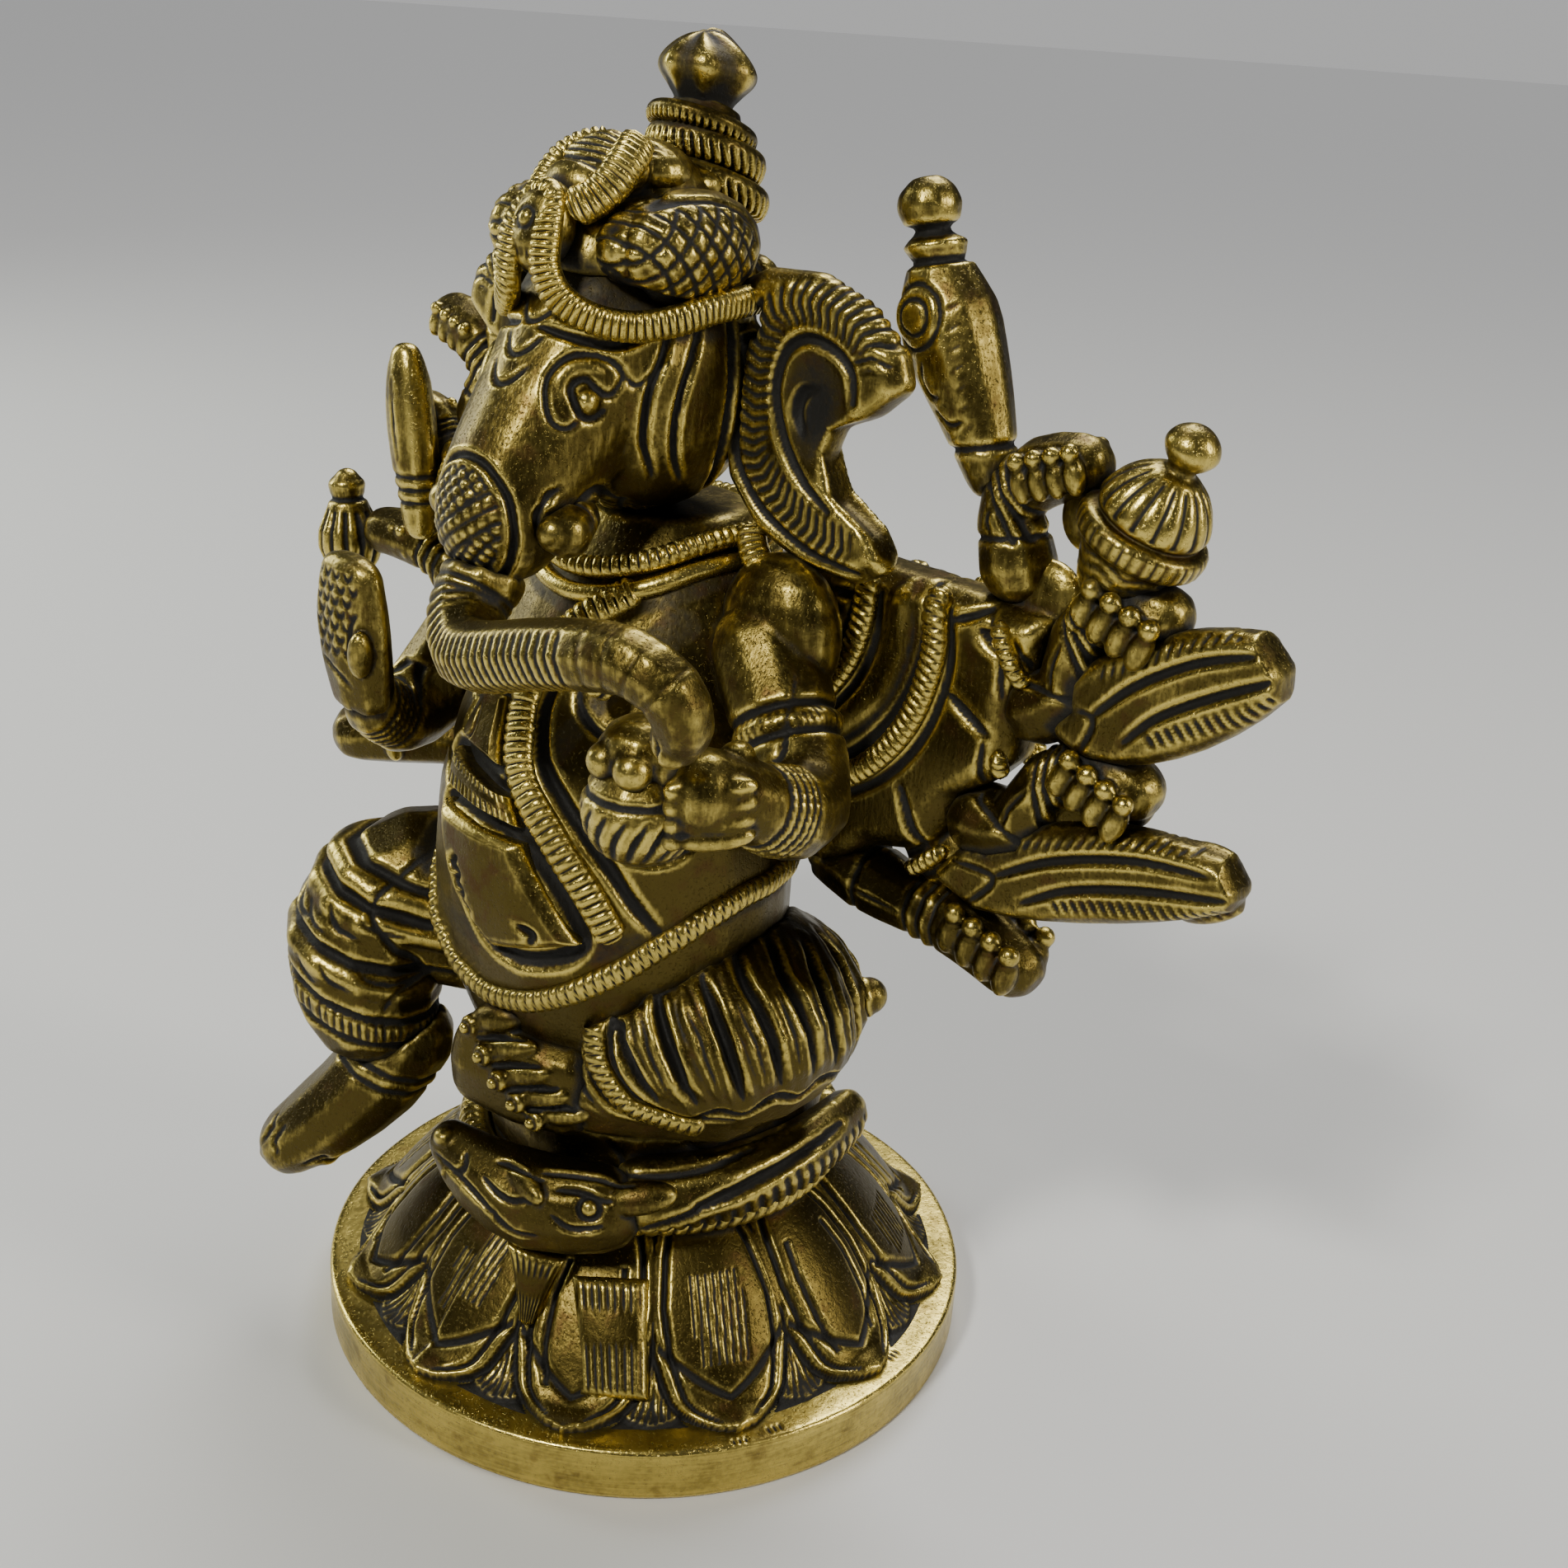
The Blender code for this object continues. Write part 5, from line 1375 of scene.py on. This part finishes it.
def club():
    """Club with a disc boss, collars and a ball tip."""
    skin = Skin(wax("mace", ["club"], [ball((15.0, 3.9, 81.9), (1.75, 1.7, 1.5)),
                                       ball((16.7, 2.0, 76.0), (1.7, 0.8, 1.7)),
                                       ball((16.7, 5.8, 76.0), (1.7, 0.8, 1.7))], fine=True, smooth=8))
    axis = (-0.25, 0, 1)
    for x, z, wide, deep in ((15.5, 80.6, 0.8, 0.6), (16.0, 79.0, 0.6, 0.45), (21.0, 69.0, 0.5, 0.3)):
        skin.girdle((x, 4, z), axis, 3.4, wide, deep)
    skin.girdle((15.8, 4, 79.8), axis, 3.0, 0.7, 0.3, raised=True)
    for face in ("front", "back"):
        for radius in (1.05, 1.9):
            skin.stroke([(16.7 + radius * math.cos(t * math.pi / 4),
                          76.0 + radius * math.sin(t * math.pi / 4))
                         for t in range(8)], face, 0.34, 0.3, closed=True)
        skin.stroke([(17.6, 73.6), (17.4, 72.4), (18.2, 71.6), (19.0, 71.8)], face, 0.45, 0.35)
        skin.stroke([(18.4, 70.9), (19.6, 70.2), (20.6, 70.6)], face, 0.4, 0.3)
        for k in range(8):
            skin.stroke([(18.6 + 0.35 * k, 76.6 - 1.1 * k), (19.4 + 0.3 * k, 77.2 - 1.1 * k)],
                        face, 0.25, 0.14)
    skin.done("brass_bright", "club")


def bell():
    """Hand bell held mouth down: ball top, fluted dome, notched flange and chevron cup."""
    axis = Vector((0.40, 0.0, 0.92)).normalized()
    base = Vector((30.0, 4.0, 61.4))
    profile = ((1.2, 0.0), (1.5, 0.6), (2.2, 1.4), (2.7, 2.6), (3.0, 3.6), (3.2, 4.2), (3.75, 4.5),
               (3.95, 4.9), (3.95, 5.6), (3.6, 5.9), (3.1, 6.05), (3.3, 6.4), (3.35, 6.9), (3.0, 7.8),
               (2.3, 8.7), (1.5, 9.3), (0.95, 9.55), (0.9, 9.9), (1.35, 10.4), (1.62, 11.0),
               (1.35, 11.7), (0.7, 12.2), (0.1, 12.35))
    piece = turned("hand_bell", profile, base, axis, sides=120)
    skin = Skin(piece)
    away = skin.points - np.array(base)
    level = away @ np.array(axis)
    side = away - level[:, None] * np.array(axis)
    angle = np.arctan2(side[:, 1], side @ np.array((0.92, 0, -0.40)))
    flutes = notch(angle * 16 / (2 * math.pi), 0.2) * (level > 6.4) * (level < 9.2)
    flange = notch(angle * 36 / (2 * math.pi), 0.25) * (level > 4.5) * (level < 5.8)
    zigzag = np.abs(angle * 3 / math.pi % 1 - 0.5) * 1.6 + level / 0.75
    chevrons = notch(zigzag, 0.2) * (level > 1.0) * (level < 4.0)
    skin.cut = flutes * 0.26 + flange * 0.2 + chevrons * 0.2
    skin.done("brass_bright", "bell")


def leaf(name, node_name, root, tip, half, bend, hatches):
    """A broad leaf: two long cuts beside the midrib and short hatches outside them."""
    end = Vector((tip[0], 4.0, tip[1]))
    inward = (Vector((root[0], 4.0, root[1])) - end).normalized()
    aside = Vector((-inward.z, 0, inward.x))
    blunt = [bead(end + inward * 1.7 + aside * t, end + inward * 6.5 + aside * t * 1.9, 1.0)
             for t in (-1.0, -0.3, 0.4, 1.0)]
    skin = Skin(wax(name, [node_name], blunt, fine=True, smooth=8))
    start = np.array(root)
    way = np.array(tip) - start
    length = np.linalg.norm(way)
    excess = np.clip((skin.points[:, [0, 2]] - start) @ way / length - length + 2.2, 0, None)
    skin.points[:, [0, 2]] -= 0.72 * excess[:, None] * way / length
    across = np.array((-way[1], way[0])) / np.linalg.norm(way)

    def at(along, aside):
        point = start + way * along + across * (aside * half + bend * math.sin(math.pi * along))
        return tuple(point)

    for face in ("front", "back"):
        skin.stroke([at(0.22, 0.05), at(0.42, 0.34), (at(0.66, 0.42)), at(0.88, 0.26)], face, 0.62, 0.5,
                    taper=0.3)
        skin.stroke([at(0.30, -0.55), at(0.46, -0.28), at(0.68, -0.20), at(0.93, -0.22)], face, 0.62, 0.5,
                    taper=0.3)
        for k in range(hatches):
            along = 0.30 + 0.56 * k / hatches
            skin.stroke([at(along, 0.58), at(along + 0.035, 0.86)], face, 0.28, 0.22)
            along = 0.40 + 0.50 * k / hatches
            skin.stroke([at(along, -0.42), at(along + 0.02, -0.80)], face, 0.32, 0.26)
        skin.stroke([at(0.08, 0.5), at(0.22, 0.0), at(0.10, -0.6)], face, 0.4, 0.3)
    skin.done("brass_bright", node_name)


def held_things():
    """What the hands hold: two leaves on the left; goad, blade and bud on the right."""
    leaf("broad_leaf_upper", "leaf_upper", (28.4, 53.6), (43.4, 62.2), 3.3, 0.0, 13)
    leaf("broad_leaf_lower", "leaf_lower", (21.6, 41.4), (43.4, 48.6), 2.9, 0.6, 17)
    goad = Skin(wax("goad_head", ["goad"], [ball((-16.8, 4, 77.4), (1.5, 1.4, 1.3))], smooth=7))
    for x, z in ((-17.6, 76.0), (-18.2, 74.9), (-21.6, 69.4)):
        goad.girdle((x, 4, z), (0.35, 0, 1), 3, 0.55, 0.35)
    for face in ("front", "back"):
        goad.stroke([(-20.8, 70.6), (-19.6, 72.6), (-18.9, 74.2)], face, 0.5, 0.35)
    goad.done("brass_bright", "goad")
    blade = Skin(wax("blade_leaf", ["blade"], smooth=7))
    for level in (55.4, 56.4, 57.4):
        blade.girdle((-29.0, 1.2, level), (-0.1, 0, 1), 3, 0.4, 0.28)
    for face in ("front", "back"):
        blade.stroke([(-29.2, 58.4), (-29.8, 61.4), (-30.2, 65.0)], face, 0.4, 0.25)
    blade.done("brass_bright", "blade")
    bud = Skin(wax("flower_bud", ["bud"], [ball((-38.5, 1.6, 54.9), 1.05)], fine=True, smooth=4))
    away = bud.points - np.array((-38.0, 1.6, 47.4))
    angle = np.arctan2(away[:, 1], away[:, 0] + 0.08 * away[:, 2])
    bud.field((away[:, 2] > 0.8) & (away[:, 2] < 5.4), notch(angle * 12 / (2 * math.pi), 0.24) * 0.32)
    bud.girdle((-38.5, 1.6, 53.6), (-0.08, 0, 1), 2.5, 0.5, 0.3)
    bud.done("brass_bright", "bud")


def front_arms():
    """The two front arms, the raised palm and the bowl of sweets."""
    grip = [bead((22.0, -15.6, 53.0 - 1.0 * k), (18.9, -18.9, 52.4 - 1.0 * k), 0.74) for k in range(4)]
    knobs = [ball((18.8, -19.0, 52.5 - 1.0 * k), 0.62) for k in range(4)]
    left = Skin(wax("front_arm_left", ["front_left_arm"],
                    [*grip, *knobs, ball((19.4, -14.6, 53.4), 1.1),
                     ball((11.6, -2.6, 56.4), (4.4, 3.0, 5.0))], smooth=20))
    wrist = np.array((20.2, -12.4, 49.9))
    for k in range(5):
        left.girdle(wrist + np.array((-0.05, -0.62, 0.25)) * (k - 2), (0.05, -0.9, 0.4), 4, 0.34,
                    0.32)
    for k in range(4):
        left.girdle(wrist + np.array((-0.05, -0.62, 0.25)) * (k - 1.5), (0.05, -0.9, 0.4), 4, 0.42, 0.2,
                    raised=True)
    left.stroke([(14.6, -5.0, 54.8), (17.0, -7.4, 52.0), (18.0, -8.0, 48.4)], width=0.5, depth=0.3)
    level = 51.8
    down = np.array((0.6, -0.3, -0.8))
    spot = np.array((14.0 + (56.0 - level) * 0.45, -4.7, level))
    for off in (-0.95, 0.95):
        left.girdle(spot + np.array((0.5, -0.2, -0.8)) * off, down, 5.0, 0.55, 0.45)
    left.girdle(spot, down, 5.0, 1.1, 0.25, raised=True)
    away = left.points - spot
    level_off = away @ (down / np.linalg.norm(down))
    turn = np.arctan2(away[:, 0] * 0.8 + away[:, 2] * 0.6, -away[:, 1])
    close = (np.abs(level_off) < 0.6) & (np.linalg.norm(away, axis=1) < 5.0)
    left.field(close, notch(turn * 3.6 / 0.55, 0.26) * 0.3)
    left.done("brass_body", "front_left_arm")
    right = Skin(wax("front_arm_right", ["front_right_arm"], smooth=12))
    for k in range(5):
        right.girdle((-14.9, -12.0 - 0.5 * k, 45.2 + 0.25 * k), (0.1, -0.85, 0.5), 4, 0.34, 0.32)
    for level in (53.4, 52.2):
        right.girdle((-12.6 - (53.4 - level) * 0.4, -4.4, level), (-0.6, -0.3, -0.75), 4.6, 0.5, 0.35)
    right.done("brass_body", "front_right_arm")
    fingers = [bead((-16.6 + 1.25 * k, -15.6, 52.4),
                    (-16.4 + 1.2 * k, -15.5, 57.0 - 0.35 * abs(k - 1.5)), 0.78) for k in range(4)]
    thumb = bead((-12.4, -16.6, 49.6), (-11.8, -17.0, 53.0), 0.85)
    palm = Skin(wax("blessing_palm", ["raised_palm"], [*fingers, thumb], fine=True, smooth=8))
    for row in range(7):
        for k in range(4):
            x = -16.7 + 1.05 * k + 0.52 * (row % 2)
            z = 56.2 - 0.85 * row
            palm.stroke([(x - 0.45, z + 0.3), (x, z - 0.28), (x + 0.45, z + 0.3)], "front", 0.32, 0.28)
    palm.stroke([(-12.9, 54.0), (-13.4, 51.4), (-12.6, 49.2)], "front", 0.5, 0.35)
    palm.stroke([(-16.8, 50.2), (-14.6, 49.4), (-13.4, 48.4)], "front", 0.4, 0.25)
    palm.done("brass_body", "raised_palm")
    bowl = Skin(wax("striped_bowl", ["sweet_bowl"], fine=True, smooth=8))
    for k in range(17):
        angle = 2 * math.pi * k / 17
        points = []
        for drop, reach in ((0.6, 3.5), (-0.9, 3.3), (-2.3, 2.2)):
            turn = angle + 0.16 * drop
            points.append((15.6 + reach * math.cos(turn), -18.2 + reach * math.sin(turn), 50.2 + drop))
        bowl.stroke(points, width=0.5, depth=0.34)
    bowl.girdle((15.6, -18.2, 51.4), (0, 0, 1), 4.4, 0.6, 0.3)
    bowl.done("brass_body", "sweet_bowl")
    heap = [ball((15.6 + 2.1 * math.cos(k * 1.047), -18.2 + 2.1 * math.sin(k * 1.047), 53.2), 1.15)
            for k in range(6)]
    sweets = Skin(wax("heap_of_sweets", ["sweets"], [*heap, ball((15.6, -18.2, 54.5), 1.2)], fine=True,
                      smooth=6))
    sweets.done("brass_bright", "sweets")


def shoulder_straps():
    """The short notched strap that hangs over each shoulder."""
    for side, sign in (("left", 1), ("right", -1)):
        line = smooth_line([(sign * x, y, z) for x, y, z in
                            ((8.0, -1.9, 62.2), (9.0, -2.6, 61.0), (10.8, -3.3, 59.7), (12.9, -3.9, 58.4))])
        outs = np.tile(np.array((sign * 0.45, -0.55, 0.7)), (len(line), 1))
        notched_band("shoulder_strap_" + side, line, outs, 0.95, 0.7, 0.55, depth=0.5, slot="brass_body")


# ---------------------------------------------------------------- stage

CAMERA_REACH = 120.0        # level distance from the figure's axis
CAMERA_HEIGHT = 92.2
CAMERA_ANGLE = 44.0         # from the front towards the figure's left, in degrees
CAMERA_ASIDE = 3.86         # how far the view swings off the axis
CAMERA_PITCH = 22.65
CAMERA_ROLL = 4.0
CAMERA_LENS = 42.81


def place_camera():
    angle = math.radians(CAMERA_ANGLE)
    place = Vector((CAMERA_REACH * math.sin(angle), -CAMERA_REACH * math.cos(angle), CAMERA_HEIGHT))
    heading = math.radians(CAMERA_ASIDE) - angle
    pitch = math.radians(CAMERA_PITCH)
    ahead = Vector((math.sin(heading) * math.cos(pitch), math.cos(heading) * math.cos(pitch),
                    -math.sin(pitch)))
    right = ahead.cross(Vector((0, 0, 1))).normalized()
    up = right.cross(ahead)
    roll = math.radians(CAMERA_ROLL)
    side = right * math.cos(roll) + up * math.sin(roll)
    top = up * math.cos(roll) - right * math.sin(roll)
    bpy.ops.object.camera_add()
    camera = bpy.context.object
    camera.matrix_world = Matrix.Translation(place * MM) @ Matrix((side, top, -ahead)).transposed().to_4x4()
    camera.data.lens = CAMERA_LENS
    camera.data.sensor_width = 36.0
    camera.data.clip_start = 0.001
    camera.data.clip_end = 20.0
    bpy.context.scene.camera = camera


def soft_light(name, place, size, power, tone=(1, 1, 1)):
    bpy.ops.object.light_add(type="AREA", location=place)
    lamp = bpy.context.object
    lamp.name = name
    lamp.data.shape = "RECTANGLE"
    lamp.data.size = size[0]
    lamp.data.size_y = size[1]
    lamp.data.energy = power
    lamp.data.color = tone
    aim = Vector((0, 0, 0.045)) - Vector(place)
    lamp.rotation_euler = aim.to_track_quat("-Z", "Y").to_euler()


def stage():
    bpy.ops.object.select_all(action="DESELECT")
    bpy.ops.mesh.primitive_plane_add(size=40.0)
    floor = bpy.context.object
    floor.name = "studio_floor"
    material = bpy.data.materials.new("studio_floor")
    material.use_nodes = True
    shader = material.node_tree.nodes["Principled BSDF"]
    shader.inputs["Base Color"].default_value = (*colours().floor, 1.0)
    shader.inputs["Roughness"].default_value = 0.9
    floor.data.materials.append(material)
    bpy.ops.mesh.primitive_cylinder_add(vertices=96, radius=WALL_REACH, depth=WALL_TALL,
                                        end_fill_type="NOTHING", location=(0.0, 0.0, 0.0))
    wall = bpy.context.object
    wall.name = "studio_backdrop"
    wall.visible_shadow = False
    wall.visible_diffuse = False
    wall.visible_glossy = False
    paper = material.copy()
    paper.name = "studio_backdrop"
    shader = paper.node_tree.nodes["Principled BSDF"]
    shader.inputs["Emission Color"].default_value = (*colours().floor, 1.0)
    shader.inputs["Emission Strength"].default_value = 0.5
    wall.data.materials.append(paper)
    bpy.ops.object.light_add(type="SUN", location=(0.2, 0.5, 0.8))
    sky = bpy.context.object
    sky.name = "sky_panel"
    sky.data.energy = 2.1
    sky.data.angle = math.radians(34)
    sky.rotation_euler = Vector((0.30, -0.62, -1.0)).to_track_quat("-Z", "Y").to_euler()
    soft_light("key", (0.06, -0.46, 0.50), (0.08, 0.08), 2.8, (1.0, 0.98, 0.90))
    soft_light("left_panel", (-0.42, -0.10, 0.20), (0.12, 0.24), 0.9, (0.96, 1.0, 0.90))
    soft_light("right_panel", (0.44, 0.16, 0.26), (0.10, 0.26), 1.1, (1.0, 0.95, 0.86))
    world = bpy.data.worlds.new("studio")
    bpy.context.scene.world = world
    world.use_nodes = True
    world.node_tree.nodes["Background"].inputs["Color"].default_value = (0.9, 0.93, 1.0, 1.0)
    world.node_tree.nodes["Background"].inputs["Strength"].default_value = 0.035
    place_camera()


# ---------------------------------------------------------------- operators and panel

class MakeStage(bpy.types.Operator):
    """Lay the floor, the soft lights and the camera"""
    bl_idname = "deity.stage"
    bl_label = "Stage"

    def execute(self, context):
        stage()
        return {"FINISHED"}


class MakeBase(bpy.types.Operator):
    """Turn the disc and punch its ledge"""
    bl_idname = "deity.base"
    bl_label = "Base disc"

    def execute(self, context):
        base_disc()
        return {"FINISHED"}


class MakeLotus(bpy.types.Operator):
    """Cut the petals of the dome"""
    bl_idname = "deity.lotus"
    bl_label = "Lotus dome"

    def execute(self, context):
        lotus_dome()
        return {"FINISHED"}


class MakeSeat(bpy.types.Operator):
    """Make the round seat and its rope"""
    bl_idname = "deity.seat"
    bl_label = "Seat and rope"

    def execute(self, context):
        seat()
        seat_rope()
        return {"FINISHED"}


class MakeMouse(bpy.types.Operator):
    """Model the mount curled around the seat"""
    bl_idname = "deity.mouse"
    bl_label = "Mouse"

    def execute(self, context):
        mouse()
        return {"FINISHED"}


class MakeTorso(bpy.types.Operator):
    """Model the torso with its thread, belt, sash and necklace"""
    bl_idname = "deity.torso"
    bl_label = "Torso"

    def execute(self, context):
        torso()
        return {"FINISHED"}


class MakeLegs(bpy.types.Operator):
    """Model the folded and the hanging leg"""
    bl_idname = "deity.legs"
    bl_label = "Legs"

    def execute(self, context):
        folded_leg()
        pendant_leg()
        feet()
        return {"FINISHED"}


class MakeHead(bpy.types.Operator):
    """Model the head, tusks, trunk and ears"""
    bl_idname = "deity.head"
    bl_label = "Head"

    def execute(self, context):
        head()
        trunk()
        ears()
        return {"FINISHED"}


class MakeCrown(bpy.types.Operator):
    """Model the cap, pads, rings and finial"""
    bl_idname = "deity.crown"
    bl_label = "Crown"

    def execute(self, context):
        crown()
        crown_rings()
        return {"FINISHED"}


class MakeFans(bpy.types.Operator):
    """Model the joined upper arms and the eight hands"""
    bl_idname = "deity.fans"
    bl_label = "Fanned arms"

    def execute(self, context):
        fans()
        fanned_arms()
        return {"FINISHED"}


class MakeHeld(bpy.types.Operator):
    """Make the club, bell, leaves, goad, blade and bud"""
    bl_idname = "deity.held"
    bl_label = "Held things"

    def execute(self, context):
        club()
        bell()
        held_things()
        return {"FINISHED"}


class MakeFront(bpy.types.Operator):
    """Model the front arms, palm, bowl and sweets"""
    bl_idname = "deity.front"
    bl_label = "Front arms"

    def execute(self, context):
        front_arms()
        shoulder_straps()
        return {"FINISHED"}


OPERATORS = (MakeStage, MakeBase, MakeLotus, MakeSeat, MakeMouse, MakeTorso,
             MakeLegs, MakeHead, MakeCrown, MakeFans, MakeHeld, MakeFront)


class DEITY_PT_panel(bpy.types.Panel):
    """Lists every step in the order it is run."""
    bl_label = "Brass Deity"
    bl_idname = "DEITY_PT_panel"
    bl_space_type = "VIEW_3D"
    bl_region_type = "UI"
    bl_category = "Brass Deity"

    def draw(self, context):
        for operator in OPERATORS:
            self.layout.operator(operator.bl_idname)


CLASSES = (FigureSizes, FigureColours, *OPERATORS, DEITY_PT_panel)


def register():
    for item in CLASSES:
        bpy.utils.register_class(item)
    bpy.types.Scene.figure_sizes = bpy.props.PointerProperty(type=FigureSizes)
    bpy.types.Scene.figure_colours = bpy.props.PointerProperty(type=FigureColours)


def unregister():
    del bpy.types.Scene.figure_colours
    del bpy.types.Scene.figure_sizes
    for item in reversed(CLASSES):
        bpy.utils.unregister_class(item)


def main():
    register()
    for operator in OPERATORS:
        getattr(bpy.ops.deity, operator.bl_idname.split(".")[1])()
    bpy.context.view_layer.update()


if __name__ == "__main__":
    main()
